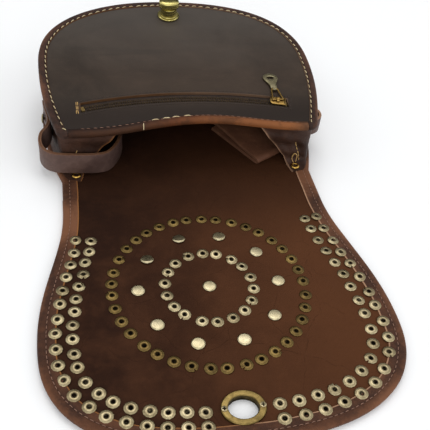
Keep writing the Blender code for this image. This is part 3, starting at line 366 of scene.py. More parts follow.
def turn_outward(mesh):
    """Faces of a closed shell wound so that they point out: a negative volume turns them all."""
    points = np.zeros(len(mesh.vertices) * 3)
    mesh.vertices.foreach_get("co", points)
    mesh.calc_loop_triangles()
    corners = np.zeros(len(mesh.loop_triangles) * 3, int)
    mesh.loop_triangles.foreach_get("vertices", corners)
    a, b, c = points.reshape(-1, 3)[corners.reshape(-1, 3)].transpose(1, 0, 2)
    if np.einsum("ij,ij->i", a, np.cross(b, c)).sum() < 0:
        mesh.flip_normals()


def upward(made):
    """The open sheet with its faces turned up, before it gets its thickness."""
    if made.data.polygons[0].normal.z < 0:
        made.data.flip_normals()
    return made


def walled(made, thickness, offset=-1):
    """The open sheet as a closed wall of one plain mesh: Solidify gives the thickness and is applied."""
    wall = made.modifiers.new("wall", "SOLIDIFY")
    wall.thickness, wall.offset = thickness / 1000, offset
    graph = bpy.context.evaluated_depsgraph_get()
    mesh = bpy.data.meshes.new_from_object(made.evaluated_get(graph), preserve_all_data_layers=True,
                                           depsgraph=graph)
    made.modifiers.clear()
    mesh.set_sharp_from_angle(angle=math.radians(40))
    made.data = mesh
    return made


def hide(name, dark, light, mottle=24.0, gloss=0.6, grain=0.00025, streak=None, warm=None, painted_sheen=None,
         crease=0.0, shine=0.15, stain=None):
    """Leather in screen colours: cloudy patches from dark to light, with pores and a few creases.

    Its right side is warm and its far end has a painted sheen, paler and greyer, where these are given. Points
    marked for darkening take the stain: dirt, and painted shade at the flap's neck and on the back. Their wear
    marks take a rubbed tan, and their raw marks the tan of a cut edge, pinker at the right.
    """
    made = Finish(name)
    dark, light = linear(*dark), linear(*light)
    lay = made.attribute("lay", out=1)
    cloud = made.noise(lay, mottle, detail=5, rough=0.6, warp=0.4)
    spots = made.noise(lay, mottle * 7, detail=4, rough=0.65)
    pores = made.node("ShaderNodeTexVoronoi", {"feature": "F1"}, Vector=lay, Scale=950.0)
    fibre = made.noise(lay, 620.0, detail=3, rough=0.7)
    share = cloud.band(0.36, 0.66) * 0.7 + spots.band(0.42, 0.72) * 0.3
    colour = made.mix(share, dark, light)
    across = made.node("ShaderNodeSeparateXYZ", {}, lay)
    if warm is not None:
        colour = made.mix((across + cloud * 0.05).band(-0.07, 0.13) * 0.75, colour, linear(*warm))
    if streak is not None:
        drawn = made.node("ShaderNodeMapping", {}, Vector=lay, Scale=streak)
        drawn = made.noise(drawn, 90.0, detail=4, rough=0.7)
        colour = made.mix(drawn.band(0.5, 0.75) * 0.3, colour, dark * 0.55)
    # Painted sheen: the far end is mixed towards a paler grey.
    if painted_sheen is not None:
        along = made.node("ShaderNodeSeparateXYZ", {}, lay, out=1)
        colour = made.mix((along + cloud * 0.08).band(0.14, 0.27) * 0.6, colour, linear(*painted_sheen))
    drift = made.node("ShaderNodeTexNoise", {}, Vector=lay, Scale=35.0, out=1)
    drift = made.node("ShaderNodeVectorMath", {"operation": "SCALE"}, drift, Scale=0.02)
    bent = made.node("ShaderNodeVectorMath", {"operation": "ADD"}, lay, drift)
    lines = made.node("ShaderNodeTexVoronoi", {"feature": "DISTANCE_TO_EDGE"}, Vector=bent, Scale=17.0)
    creased = (1 - lines.band(0.0, 0.007)) * spots.band(0.4, 0.6) * crease
    colour = made.mix(creased * 0.5, colour, dark * 0.5)
    # Where the points are marked for darkening: dirt, and painted shade at the flap's neck and on the back.
    darkened = (made.attribute("soil") * (cloud * 0.5 + 0.75)).clamp()
    colour = made.mix(darkened, colour, dark * 0.4 if stain is None else linear(*stain))
    rubbed = (made.attribute("wear") * 1.4 + spots * 0.8 - 0.75).clamp()
    colour = made.mix(rubbed * 0.7, colour, linear(128, 84, 58))
    cut = made.attribute("raw") * (spots * 0.5 + 0.6).clamp()
    fresh = made.mix(across.band(-0.03, 0.03), linear(146, 96, 52), linear(180, 140, 110))
    colour = made.mix(cut.clamp(), colour, fresh)
    height = fibre * 0.5 + pores * 0.35 + spots * 0.8 - creased * 0.9
    return made.paint(Base_Color=colour, Roughness=(gloss + (cloud - 0.5) * 0.25 + cut * 0.15).clamp(),
                      Normal=made.bump(height, grain), Specular_IOR_Level=shine)


flap_paint = hide("flap_flesh", (42, 24, 16), (67, 41, 27), mottle=19.0, gloss=0.75, grain=0.0006,
                  warm=(92, 56, 34), crease=0.4, shine=0.05)
edge = flap_edge()
inner = spaced((edge - left_normals(edge) * PANEL_INSET)[edge[:, 1] <= SEAM_Y], count=230)
inner[0, 1] = SEAM_Y
inner = inner[:-1]
across = np.sin(np.linspace(-1, 1, 121) * np.pi / 2)[None, :]
flap_x, flap_y = inner[:, :1] * across, inner[:, 1:] + 0 * across
from_ring = np.hypot(flap_x / RING_HOLE[0], (flap_y - RING_Y) / RING_HOLE[1])
hole = from_ring < 1
push = np.where(hole, 1 / np.maximum(from_ring, 0.01), 1)
flap_faces = quads(*flap_x.shape)
flap_faces = flap_faces[~hole.ravel()[flap_faces].all(axis=1)]
flap_x, flap_y = flap_x * push, RING_Y + (flap_y - RING_Y) * push
flap_top = grid(flap_x, flap_y, LEATHER_TOP + flap_lift(flap_x, flap_y))
used = np.unique(flap_faces)
place_of = np.zeros(flap_x.size, int)
place_of[used] = np.arange(used.size)
# Darker towards the neck: painted shadow of the bag's body, and some dirt.
soil = 0.5 * rise(flap_top[..., 1], -70, 10)
flap = upward(piece("flap_leather", flap_top.reshape(-1, 3)[used], place_of[flap_faces], flap_paint,
                    {"soil": soil.ravel()[used]}, outward=False))
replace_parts(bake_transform(walled(flap, LEATHER)),
            "flap_panel")

# The flap's edge band: a strip of thin brown leather folded over the cut edge and sewn through once. On
# this face it is wide, its raw edge runs under the outer rivets, and handling has rubbed the fold pale.
FLAP_BAND = np.array([  # depth in from the edge, height, how rubbed, how raw, how soiled
    (12.9, 4.05, 0, 1, 0), (12.9, 4.5, 0, 1, 0), (12.3, 4.75, 0, 1, 0), (11.8, 4.85, 0.1, 0, 0),
    (9.0, 5.1, 0, 0, 0), (6.8, 5.2, 0, 0, 0.2), (6.2, 4.95, 0, 0, 0.8), (5.6, 5.2, 0.1, 0, 0.1),
    (3.0, 5.4, 0.35, 0, 0), (1.2, 5.2, 0.65, 0, 0), (0.3, 4.4, 0.8, 0, 0), (0.0, 2.7, 0.7, 0, 0),
    (0.3, 1.0, 0.5, 0, 0), (1.2, 0.2, 0.3, 0, 0), (3.0, 0.02, 0.1, 0, 0), (5.6, 0.02, 0, 0, 0),
    (6.2, 0.35, 0, 0, 0.6), (6.8, 0.02, 0, 0, 0), (7.5, 0.05, 0, 1, 0), (7.5, 1.3, 0, 1, 0),
    (1.4, 1.35, 0, 0, 0), (1.3, 3.95, 0, 0, 0)])
SEAM_IN, SEAM_PITCH, HAND_ERROR = 6.35, 4.2, 0.05
chance = np.random.default_rng(11)


def both_sides(half):
    """A whole U from its right half, which ends on the middle line."""
    return np.vstack([half, half[-2::-1] * [-1, 1]])


def inward_normals(path):
    """Unit vectors square to a U-shaped path that point to its inside."""
    normals = left_normals(path)
    return -normals * np.sign(normals[0, 0] * path[0, 0])


def tube_faces(rows, columns, close=False):
    """Side faces of a profile carried along a path, and one face over each end unless the path is closed."""
    faces = quads(rows, columns, wrap_rows=close, wrap_columns=True).tolist()
    last = (rows - 1) * columns
    return faces if close else faces + [list(range(columns)), list(range(last + columns - 1, last - 1, -1))]


def on_flap(x, y, z):
    """A height over the flat flap, raised by the leather's waves."""
    return grid(x, y, z + flap_lift(x, y))


def banded(name, path, profile, finish, placing, wobble=0.3, inside=None, neck_wear=0.0):
    """An edge band: path + depth * inward, at a height, with a hand-cut wobble of two sines along the way.

    Its wear follows the place, so that two bands agree where they meet. neck_wear adds wear at the neck, and
    less of it down the right side.
    """
    run = run_of(path)[:, None]
    inside = inward_normals(path) if inside is None else inside
    depth, height, rubbed, raw, soiled = (column[None, :] for column in profile.T)
    shift = wobble * (1 + np.sin(run / 19 + 1)) * 0.5 + wobble * 0.4 * np.sin(run / 7.3) * rise(depth, 5, 12)
    x = path[:, :1] + inside[:, :1] * (depth + shift)
    y = path[:, 1:] + inside[:, 1:] * (depth + shift)
    patchy = 0.55 + 0.45 * np.sin(path[:, :1] / 23 + 0.4) * np.sin(path[:, 1:] / 12.7 + path[:, :1] / 40)
    along_side = np.maximum(rise(y, -95, -20), 0.45 * rise(x, 60, 105))
    rubbed = rubbed + neck_wear * along_side * rise(-y, -60, -30)
    marks = {"wear": rubbed * patchy, "raw": raw, "soil": soiled}
    return piece(name, placing(x, y, height), tube_faces(*x.shape), finish, marks, sharp=50)


def stitch_shape(length, width):
    """One stitch along x: radius w/2 (1 - 0.3 t^2), its ends sunk below its middle by w (0.45 - 0.9 t^4)."""
    t = np.linspace(-1, 1, 5)[:, None]
    turn = 2 * np.pi * np.arange(6) / 6
    radius, centre = width / 2 * (1 - 0.3 * t ** 2), width * (0.45 - 0.9 * t ** 4)
    points = grid(t * length / 2, radius * np.cos(turn), centre + radius * np.sin(turn))
    return points.reshape(-1, 3), tube_faces(*points.shape[:2])


def repeated(shape, places, first, normal):
    """Copies of a small shape at places, each with its x axis along first and its z axis along normal."""
    points, faces = shape
    second = np.cross(normal, first)
    moved = sum(points[None, :, i, None] * axis[:, None] for i, axis in enumerate((first, second, normal)))
    copies = []
    for size in sorted({len(f) for f in faces}):
        block = np.array([f for f in faces if len(f) == size])
        copies += (block + len(points) * np.arange(len(places))[:, None, None]).reshape(-1, size).tolist()
    return (places[:, None] + moved).reshape(-1, 3), copies


def seam(path, pitch, height, placing, normal, length, width, slant=0.0, start=0.5):
    """A row of stitches evenly spaced along a plane path: their points and faces, turned by a slant."""
    run = run_of(path)
    at = np.arange(start * pitch, run[-1], pitch)
    at = at + chance.normal(0, HAND_ERROR * pitch, len(at))
    x, y = (np.interp(at, run, column) for column in path.T)
    ahead = unit(np.stack([np.interp(at, run, column) for column in np.gradient(path, axis=0).T], axis=-1))
    turned_by = slant + chance.normal(0, HAND_ERROR, len(at))
    ahead = np.stack([ahead[:, 0] * np.cos(turned_by) - ahead[:, 1] * np.sin(turned_by),
                      ahead[:, 0] * np.sin(turned_by) + ahead[:, 1] * np.cos(turned_by)], axis=-1)
    places = placing(x, y, height)
    first = placing(x + ahead[:, 0], y + ahead[:, 1], height) - places
    up = normal(x, y)
    first = unit(first - up * np.einsum("ij,ij->i", first, up)[:, None])
    return repeated(stitch_shape(length, width), places, first, up)


def joined(*parts):
    """Several lots of points and faces as one."""
    points, faces, start = [], [], 0
    for more_points, more_faces in parts:
        points.append(more_points)
        faces += [[v + start for v in face] for face in more_faces]
        start += len(more_points)
    return np.vstack(points), faces


def through_seam(path, placing, up, down):
    """A band's seam as both of its faces show it, SEAM_IN from the path."""
    line = path + inward_normals(path) * SEAM_IN
    return joined(seam(line, SEAM_PITCH, 5.05, placing, up, 2.9, 0.55),
                  seam(line, SEAM_PITCH, 0.3, placing, down, 2.9, 0.5, start=1.0))


def thread(name, colour, dirty):
    """Waxed linen thread: two plies twisted round each other, soiled in patches."""
    made = Finish(name)
    colour, dirty = linear(*colour), linear(*dirty)
    lay = made.attribute("lay", out=1)
    twist = made.noise(lay, 1800.0, detail=2)
    soil = made.noise(lay, 60.0, detail=4, rough=0.7)
    tone = made.mix(soil.band(0.4, 0.75) * 0.8, colour, dirty)
    return made.paint(Base_Color=made.mix(twist.band(0.45, 0.7) * 0.4, tone, dirty * 0.6), Roughness=0.7,
                      Normal=made.bump(twist, 0.0002))


band_paint = hide("band_brown", (58, 35, 24), (96, 60, 40), mottle=38.0, gloss=0.6, grain=0.0006, crease=0.3)
brown_thread = thread("brown_thread", (150, 112, 92), (104, 72, 58))
flap_path = spaced(both_sides(edge[edge[:, 1] <= SEAM_Y]), step=2.0)
flap_band = banded("flap_band", flap_path, FLAP_BAND, band_paint, on_flap, neck_wear=1.1)
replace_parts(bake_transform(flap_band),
            "flap_binding")
threads = through_seam(flap_path, on_flap, flap_normal, lambda x, y: -flap_normal(x, y))
flap_seam = piece("flap_stitching", *threads, brown_thread, sharp=None)
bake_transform(flap_seam)

# Hollow rivets: a thin tube pushed through the leather and rolled over into a small flange, which has split
# on some. A double row of nickel ones runs up each side; two circles, brass and nickel, make the rosette.
ROSETTE = np.array([-4.5, RING_Y + 104.0])
# The hole is shallow; its floor and wall are painted near black, a painted shade of a deep hole.
RIVET = np.array([  # radius, height over the leather, how dark: grime, and painted shade in the hole
    (0, 0.2, 1), (1.3, 0.22, 1), (1.45, 0.62, 1), (1.85, 0.85, 0.4), (2.5, 1.0, 0), (3.4, 0.9, 0.05),
    (3.75, 0.76, 0.35), (4.15, 0.76, 0.1), (4.75, 0.5, 0), (5.0, 0.12, 0.1), (4.7, -0.15, 0.6),
    (3.4, -2.5, 0.3), (3.2, -3.3, 0.2), (2.4, -3.7, 0), (0, -3.75, 0)])
OVER_BAND = RIVET - [[0, 1.1 * low, 0] for low in RIVET[:, 1] < -3]
STUD = np.array([
    (0, 1.4, 0), (3.95, 1.39, 0), (4.35, 1.34, 0), (4.85, 1.12, 0), (5.2, 0.7, 0), (5.3, 0.3, 0.2),
    (5.1, 0.02, 0.7), (1.2, 0, 1), (1.2, -2.4, 1), (5.0, -2.5, 0.5), (5.2, -3.0, 0.2), (4.3, -3.7, 0),
    (0, -3.8, 0)])
SLIT, SLIT_ROOT = 0.2, 2.0
ROW_DEPTHS = 12.9, 24.0
ROWS = (-1, 160, 19), (1, 171, 18)  # side, where the row starts from the ring, how many rivets
OUTER_CIRCLE, STUD_CIRCLE, INNER_CIRCLE = (73.1, 37), (53.7, 10), (33.6, 18)  # radius, how many


def round_z(radius, height, turn):
    """A grid of points round the z axis: (radius cos turn, radius sin turn, height)."""
    return grid(radius * np.cos(turn), radius * np.sin(turn), height)


def turned(profile, steps, split=False):
    """A shape turned about z from a profile that starts and ends on the axis, and each point's place on it.

    A split one has its wall drawn in to near SLIT_ROOT at one point, with SLIT radians on each side of it.
    """
    turn = 2 * np.pi * np.arange(steps) / steps
    radius, height = profile[:, 0], profile[:, 1]
    out = np.repeat(radius[1:-1, None], steps, axis=1)
    if split:
        turn[1], turn[-1] = SLIT, 2 * np.pi - SLIT
        out[:, 0] = np.where(out[:, 0] > SLIT_ROOT, SLIT_ROOT + (out[:, 0] - SLIT_ROOT) * 0.2, out[:, 0])
    rings = round_z(out, height[1:-1, None], turn)
    points = np.vstack([rings.reshape(-1, 3), [[0, 0, height[0]], [0, 0, height[-1]]]])
    faces = quads(len(rings), steps, wrap_columns=True).tolist()
    first, last = np.arange(steps), (len(rings) - 1) * steps + np.arange(steps)
    faces += [[len(points) - 2, a, b] for a, b in zip(first, np.roll(first, -1))]
    faces += [[len(points) - 1, b, a] for a, b in zip(last, np.roll(last, -1))]
    rank = np.concatenate([np.repeat(np.arange(1, len(profile) - 1), steps), [0, len(profile) - 1]])
    return (points, faces), rank


def metal(name, clean, dull, grime_and_shade_tone, rough=0.3, pits=0.5):
    """Plated metal: clean, dull in patches, and dark where the points' marks and its pits say: grime, and
    painted shade in rivet holes, screw slots and the lock ring's opening.

    The points' shade marks make one copy of a shape duller than the next.
    """
    made = Finish(name)
    lay = made.attribute("lay", out=1)
    cloud = made.noise(lay, 210.0, detail=5, rough=0.65)
    fine = made.noise(lay, 1500.0, detail=3)
    drawn = made.node("ShaderNodeMapping", {}, Vector=lay, Scale=(1.0, 0.08, 1.0))
    scratch = made.noise(drawn, 2600.0, detail=2)
    dulled = (cloud.band(0.38, 0.7) * 0.6 + made.attribute("shade") * 0.55).clamp()
    dirt = (made.attribute("dirt") * (cloud + 0.5) + fine.band(0.62, 0.8) * pits * 0.5).clamp()
    colour = made.mix(dirt, made.mix(dulled, linear(*clean), linear(*dull)), linear(*grime_and_shade_tone))
    return made.paint(Base_Color=colour, Metallic=1.0,
                      Roughness=(rough + (cloud - 0.5) * 0.35 + dirt * 0.35).clamp(),
                      Normal=made.bump(fine * 0.6 + scratch * 0.4, 0.00006))


def any_turn(normals):
    """For each normal a unit vector square to it, turned by chance."""
    side = unit(np.cross([0, 1.0, 0], normals))
    angle = chance.uniform(0, 2 * np.pi, len(normals))[:, None]
    return side * np.cos(angle) + np.cross(normals, side) * np.sin(angle)


def set_in_flap(name, places, profile, steps, finish, raised=0.0, split=0.0, lean_back=0.0):
    """Rivets or studs at places of the flap, square to its waves or leaning back. A share is split."""
    cracked = chance.uniform(0, 1, len(places)) < split
    parts, dirt, shade = [], [], []
    for chosen, kind in ((~cracked, False), (cracked, True)):
        if chosen.any():
            shape, rank = turned(profile, steps, kind)
            x, y = places[chosen].T
            spots = np.column_stack([x, y, LEATHER_TOP + raised + flap_lift(x, y)])
            lean = np.outer(np.broadcast_to(lean_back, cracked.shape)[chosen], [0, 1, 0])
            tilt = unit(flap_normal(x, y) + chance.normal(0, 0.035, spots.shape) + lean)
            parts.append(repeated(shape, spots, any_turn(tilt), tilt))
            dirt.append(np.tile(profile[rank, 2], len(x)))
            shade.append(np.repeat(chance.uniform(0, 1, len(x)) ** 1.5, len(rank)))
    marks = {"dirt": np.concatenate(dirt), "shade": np.concatenate(shade)}
    made = piece(name, *joined(*parts), finish, marks, sharp=None)
    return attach(made, "flap")


def circle_of(radius, count, turn):
    """Places on a circle round the rosette's middle, evenly spaced but for a small error of the hand."""
    angle = turn + 2 * np.pi * np.arange(count) / count
    angle = angle + chance.normal(0, 0.55, count) / max(radius, 20)
    return ROSETTE + radius * np.column_stack([np.sin(angle), np.cos(angle)])


def edge_row(depth, side, start, count):
    """Rivet places along one edge, depth in from it, evenly spaced from start to beside the lock ring."""
    line = edge - left_normals(edge) * depth
    line = line[(line[:, 1] - RING_Y <= start) & (line[:, 0] >= 24.5)]
    return spaced(line, count=count) * [side, 1]


nickel = metal("nickel_worn", (170, 157, 124), (118, 105, 78), (14, 10, 7), rough=0.34)
old_brass = metal("brass_tarnished", (116, 96, 56), (78, 64, 38), (14, 10, 7), rough=0.38)
cap_nickel = metal("nickel_cap", (178, 167, 136), (158, 146, 114), (50, 40, 28), rough=0.3, pits=0.2)
rows = [np.vstack([edge_row(depth, *row) for row in ROWS]) for depth in ROW_DEPTHS]
outer_rows, inner_rows = (places + chance.normal(0, 0.35, places.shape) for places in rows)
for made in (set_in_flap("band_rivets", outer_rows, OVER_BAND, 12, nickel, raised=0.75, split=0.16),
             set_in_flap("edge_rivets", inner_rows, RIVET, 12, nickel, split=0.16),
             set_in_flap("rosette_inner_rivets", circle_of(*INNER_CIRCLE, 0), RIVET, 12, nickel, split=0.35)):
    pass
rosette_rim = circle_of(*OUTER_CIRCLE, np.pi / OUTER_CIRCLE[1])
set_in_flap("rosette_outer_rivets", rosette_rim, RIVET, 12, old_brass, split=0.16)
caps = np.vstack([circle_of(*STUD_CIRCLE, np.pi / STUD_CIRCLE[1]), ROSETTE[None]])
far_left = (caps[:, 1] > ROSETTE[1] + 25) & (caps[:, 0] < ROSETTE[0] + 30)
studs = set_in_flap("cap_studs", caps, STUD, 28, cap_nickel, lean_back=0.13 * far_left)
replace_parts(studs, *[f"cap_stud_{number:02d}" for number in range(1, 12)])

# The lock ring: an oval stamped from brass sheet, hollow behind, with a short barrel that passes through the
# flap and a flat plate behind it. Two small cross-head screws pull ring and plate together.
# The barrel's inner wall and the ring's hollow back are darkened: grime, and painted shade in the opening.
RING = np.array([  # share of the way from the opening to the rim, height over the leather, how dark: grime and painted shade
    (0.0, -3.5, 0.9), (0.0, 1.2, 0.5), (0.04, 1.7, 0), (0.12, 1.93, 0), (0.16, 1.95, 0.05), (0.8, 1.95, 0.05),
    (0.85, 1.92, 0), (0.95, 1.5, 0), (1.0, 0.8, 0.1), (1.0, 0.15, 0.7), (0.93, 0.12, 1), (0.13, 0.12, 1),
    (0.1, -3.5, 0.6)])
RING_OPENING, RING_RIM = (10.3, 8.4), (15.3, 12.8)
SCREW_X, SCREW_RADIUS, SCREW_DOME = 12.9, 2.1, 0.75


def oval_ring(opening, rim, profile, steps=72):
    """A profile carried round between two ovals: opening + share * (rim - opening), at a height."""
    turn = 2 * np.pi * np.arange(steps)[:, None] / steps
    share, height = profile[None, :, 0], profile[None, :, 1]
    reach = [opening[i] + share * (rim[i] - opening[i]) for i in (0, 1)]
    points = grid(reach[0] * np.cos(turn), reach[1] * np.sin(turn), height)
    return points.reshape(-1, 3), tube_faces(*points.shape[:2], close=True)


def screw_head(radius, height, steps=40):
    """A low dome with a cross cut in it: height (1 - 0.45 (r/R)^2), less a slot at small |x| or |y|."""
    r = np.array([0.02, 0.12, 0.2, 0.26, 0.45, 0.62, 0.7, 0.85, 1.0])[:, None] * radius
    turn = 2 * np.pi * np.arange(steps)[None, :] / steps
    x, y = r * np.cos(turn), r * np.sin(turn)
    slot = (np.minimum(abs(x), abs(y)) < 0.16 * radius) & (r < 0.68 * radius)
    z = height * (1 - 0.45 * (r / radius) ** 2) - 0.45 * height * slot
    points = np.vstack([grid(x[-1:], y[-1:], -0.6), grid(x, y, z)[::-1]])
    return points.reshape(-1, 3), tube_faces(*points.shape[:2])


def in_slot_of(points, radius):
    """1 at the points of a screw head that lie in its cross: |x| or |y| under 0.2 R and r under 0.7 R."""
    x, y = np.abs(points[:, :2].T)
    return ((np.minimum(x, y) < 0.2 * radius) & (np.hypot(x, y) < 0.7 * radius)).astype(float)


ring_at = np.array([0, RING_Y, LEATHER_TOP])
ring_points, ring_faces = oval_ring(RING_OPENING, RING_RIM, RING)
ring_brass = metal("brass_rubbed", (124, 105, 62), (80, 66, 38), (16, 12, 8), rough=0.36, pits=1.4)
lock_ring = piece("lock_ring_stamped", ring_points + ring_at, ring_faces, ring_brass,
                  {"dirt": np.tile(RING[:, 2], len(ring_points) // len(RING))}, sharp=45)
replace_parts(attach(lock_ring, "flap"), "lock_ring")
head_points, head_faces = screw_head(SCREW_RADIUS, SCREW_DOME)
stem_points, stem_faces = turned(np.array([(0, 0.2), (0.8, 0.2), (0.8, -3.3), (0, -3.3)]), 12)[0]
solids = (head_points, head_faces, 1.9), (stem_points, stem_faces, 1.4)
screws = joined(*[(points + ring_at + [side * SCREW_X, 0, rise_by], faces) for side in (-1, 1)
                  for points, faces, rise_by in solids])
# The cross slots are darkened: grime, and painted shade in the slot.
slot_grime_and_shade = np.tile(np.concatenate([in_slot_of(head_points, SCREW_RADIUS), np.zeros(len(stem_points))]), 2)
lock_screws = piece("lock_screws", *screws, nickel, {"dirt": slot_grime_and_shade}, sharp=30)
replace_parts(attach(lock_screws, "flap"), "lock_screw_left", "lock_screw_right")

# The back: the same hide runs on from the flap under the mouth and becomes the back panel. Its own edge band
# carries on round it, and the gusset is sewn along that band.
BODY_HALF_WIDTH, BODY_WAIST, BODY_SHOULDER = 127.7, 16.5, 100
BODY_END, BODY_POWER = 97, 2.3


def body_edge(start, steps=160):
    """Right half of the body's outline: 127.7 - 16.5 ((100 - s) / 100)^2 to s = 100, then a superellipse."""
    s = np.linspace(start, BODY_SHOULDER, steps)
    side = np.column_stack([BODY_HALF_WIDTH - BODY_WAIST * ((BODY_SHOULDER - s) / BODY_SHOULDER) ** 2, s])
    return np.vstack([side, quarter_oval(BODY_HALF_WIDTH, BODY_END, BODY_POWER, steps) + [0, BODY_SHOULDER]])


neck = edge[(edge[:, 1] > SEAM_Y) & (edge[:, 1] < FOLD_ONE)][::-1]
neck = np.vstack([[[np.interp(SEAM_Y, neck[:, 1], neck[:, 0]), SEAM_Y]], neck])
back_half = np.vstack([neck, body_edge(0) + [0, FOLD_ONE]])
inner = spaced(back_half + left_normals(back_half) * PANEL_INSET, count=190)[:-1]
inner[0, 1] = SEAM_Y
back_x, back_y = inner[:, :1] * across, inner[:, 1:] + 0 * across
# The back is darkened all over by half: painted shade of the bag's inside.
back = upward(piece("back_leather", grid(back_x, back_y, LEATHER_TOP), quads(*back_x.shape), flap_paint,
                    {"soil": 0.5}, outward=False))
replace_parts(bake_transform(walled(back, LEATHER)),
            "back_panel", "flap_root")
back_path = spaced(both_sides(back_half), step=2.0)
back_band = banded("back_band", back_path, FLAP_BAND, band_paint, grid, neck_wear=1.1)
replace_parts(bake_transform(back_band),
            "back_binding", "root_binding_left", "root_binding_right")
up_here, down_here = (lambda x, y, z=z: grid(0 * x, 0, z) for z in (1.0, -1.0))
threads = through_seam(back_path, grid, up_here, down_here)
back_seam = piece("back_stitching", *threads, brown_thread, sharp=None)
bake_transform(back_seam)

# The gusset: one long strip of the same hide, sewn to both bands, that makes the sides and the bottom. It is
# soft and sags in between them, and at the mouth its ends are folded in and pinned down by the eyelets.
TILT = math.radians(5.681)
MOUTH_Y, MOUTH_Z = 31.896, 50.0
GUSSET_INSET, GUSSET_WALL = 4.0, 1.6


def on_front(x, s, h=0.0):
    """A place of the tilted front panel: x across, s from the mouth's edge and h above its leather."""
    return grid(x, MOUTH_Y + s * math.cos(TILT) - h * math.sin(TILT),
                MOUTH_Z + s * math.sin(TILT) + h * math.cos(TILT))


def smooth_path(points, count):
    """A Catmull-Rom spline through points, at evenly spaced places."""
    points = np.asarray(points, float)
    ends = np.vstack([2 * points[0] - points[1], points, 2 * points[-1] - points[-2]])
    t = np.linspace(0, 1, 24, endpoint=False)[:, None]
    spans = [0.5 * (2 * b + (c - a) * t + (2 * a - 5 * b + 4 * c - d) * t ** 2
                    + (3 * b - a - 3 * c + d) * t ** 3)
             for a, b, c, d in zip(ends, ends[1:], ends[2:], ends[3:])]
    return spaced(np.vstack(spans + [points[-1:]]), count=count)


low_end, high_end = (smooth_path([(111.5, 16), *bend], 26)[::-1] for bend in (
    [(109.6, 11), (106.5, 8.3), (102.4, 7.0), (98.7, 6.5), (94.6, 6.4)],
    [(109.8, 11), (105.5, 7.2), (94.0, 6.0), (78.0, 6.6), (62.0, 8.6)]))
wall_half = body_edge(16)
wall_half = wall_half + left_normals(wall_half) * GUSSET_INSET
wall_low, wall_high = (both_sides(np.vstack([end, spaced(wall_half, count=170)]))
                       for end in (low_end, high_end))
height = np.linspace(0, 1, 25)[None, :]
from_middle = np.abs(np.arange(len(wall_low)) - (len(wall_low) - 1) / 2)
foot = 5.65 - 1.2 * rise(from_middle, len(wall_low) / 2 - 22, len(wall_low) / 2 - 8)
low_row = grid(wall_low[:, 0], wall_low[:, 1] + FOLD_ONE, foot)
high_row = on_front(wall_high[:, 0], wall_high[:, 1], -4.15)
inside = inward_normals(wall_low)
along = np.arange(len(wall_low))[:, None]
from_end = np.minimum(along, len(wall_low) - 1 - along)
bow = 4.0 * (1 - np.cos(2 * np.pi * height)) / 2 * rise(from_end, 16, 44)
bow = bow + 0.7 * np.sin(along / 5.1 + 2 * height) * np.sin(np.pi * height) * rise(from_end, 20, 40)
bow = bow + 0.35 * np.sin(along / 1.15 + 5 * height) * np.sin(np.pi * height) * (1 - rise(from_end, 12, 40))
wall_points = low_row[:, None] + (high_row - low_row)[:, None] * height[..., None]
wall_points[..., 0] += inside[:, :1] * bow
wall_points[..., 1] += inside[:, 1:] * bow
tongue = 1 - rise(from_end, 12, 24)
drop = 6.2 * rise(height, 0, 0.16) * (1 - rise(height, 0.2, 1)) - 7.5 * (1 - rise(height, 0, 0.1))
wall_points[..., 1] += drop * tongue
wall_points[..., 2] += (foot[:, None] - wall_points[..., 2]) * (1 - rise(height, 0.04, 0.2)) * tongue
folds = 1.3 * np.sin(4.5 * np.pi * height + along / 9)
wall_points[..., 1] += folds * rise(height, 0.1, 0.3) * rise(1 - height, 0, 0.2) * tongue
gusset_paint = hide("gusset_hide", (50, 33, 26), (80, 54, 42), mottle=26.0, gloss=0.5, grain=0.0005,
                    crease=0.5)
gusset = piece("gusset_wall", wall_points, quads(len(wall_low), height.size), gusset_paint,
               {"soil": 0.25 * np.sin(np.pi * height), "raw": 0.8 * (1 - rise(from_end, 0.2, 1.2))},
               outward=False)
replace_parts(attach(walled(gusset, GUSSET_WALL, 0), "bag"), "gusset")
threads = []
for row in (13, -14):
    line = spaced(wall_points[row, 3:14], step=4.6)
    ahead = unit(np.gradient(line, axis=0))
    outward = unit(np.array([0, -1.0, 0]) + ahead * ahead[:, 1:2])
    threads.append(repeated(stitch_shape(3.6, 0.8), line + outward * 1.0, ahead, outward))
tan_thread = thread("tan_thread", (196, 158, 96), (128, 92, 54))
end_threads = piece("gusset_end_stitching", *joined(*threads), tan_thread, sharp=None)
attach(end_threads, "bag")

# The front panel: one piece of smooth dark cowhide, waxed to a soft shine. Its edge at the mouth is cut back
# to a shallow scoop, and a long curved slot is cut in it for the zip.
ZIP_R, ZIP_MIDDLE, ZIP_HALF, SLOT_HALF = 390.0, 46.0 - 390.0, 92.0, 6.2
MOUTH_HALF, CORNER = 105.04, 9.0  # where the mouth's straight edge ends, and the radius of its corners
FRONT_INSET, FRONT_HALF = 1.7, 125.6


def zip_line(x):
    """Distance from the mouth of the zip's arc at x: c + sqrt(R^2 - x^2)."""
    return ZIP_MIDDLE + np.sqrt(ZIP_R ** 2 - x ** 2)


def mouth_scoop(x):
    """How far the mouth's edge is drawn back at x: 3 (1 + cos) as cut, and a sag right of the middle."""
    cut = 3 * (1 + np.cos(np.pi * np.clip(np.abs(x) / 102.2, 0, 1)))
    return cut + 7.5 * rise(x, -80, 20) * rise(-x, -104, -20)


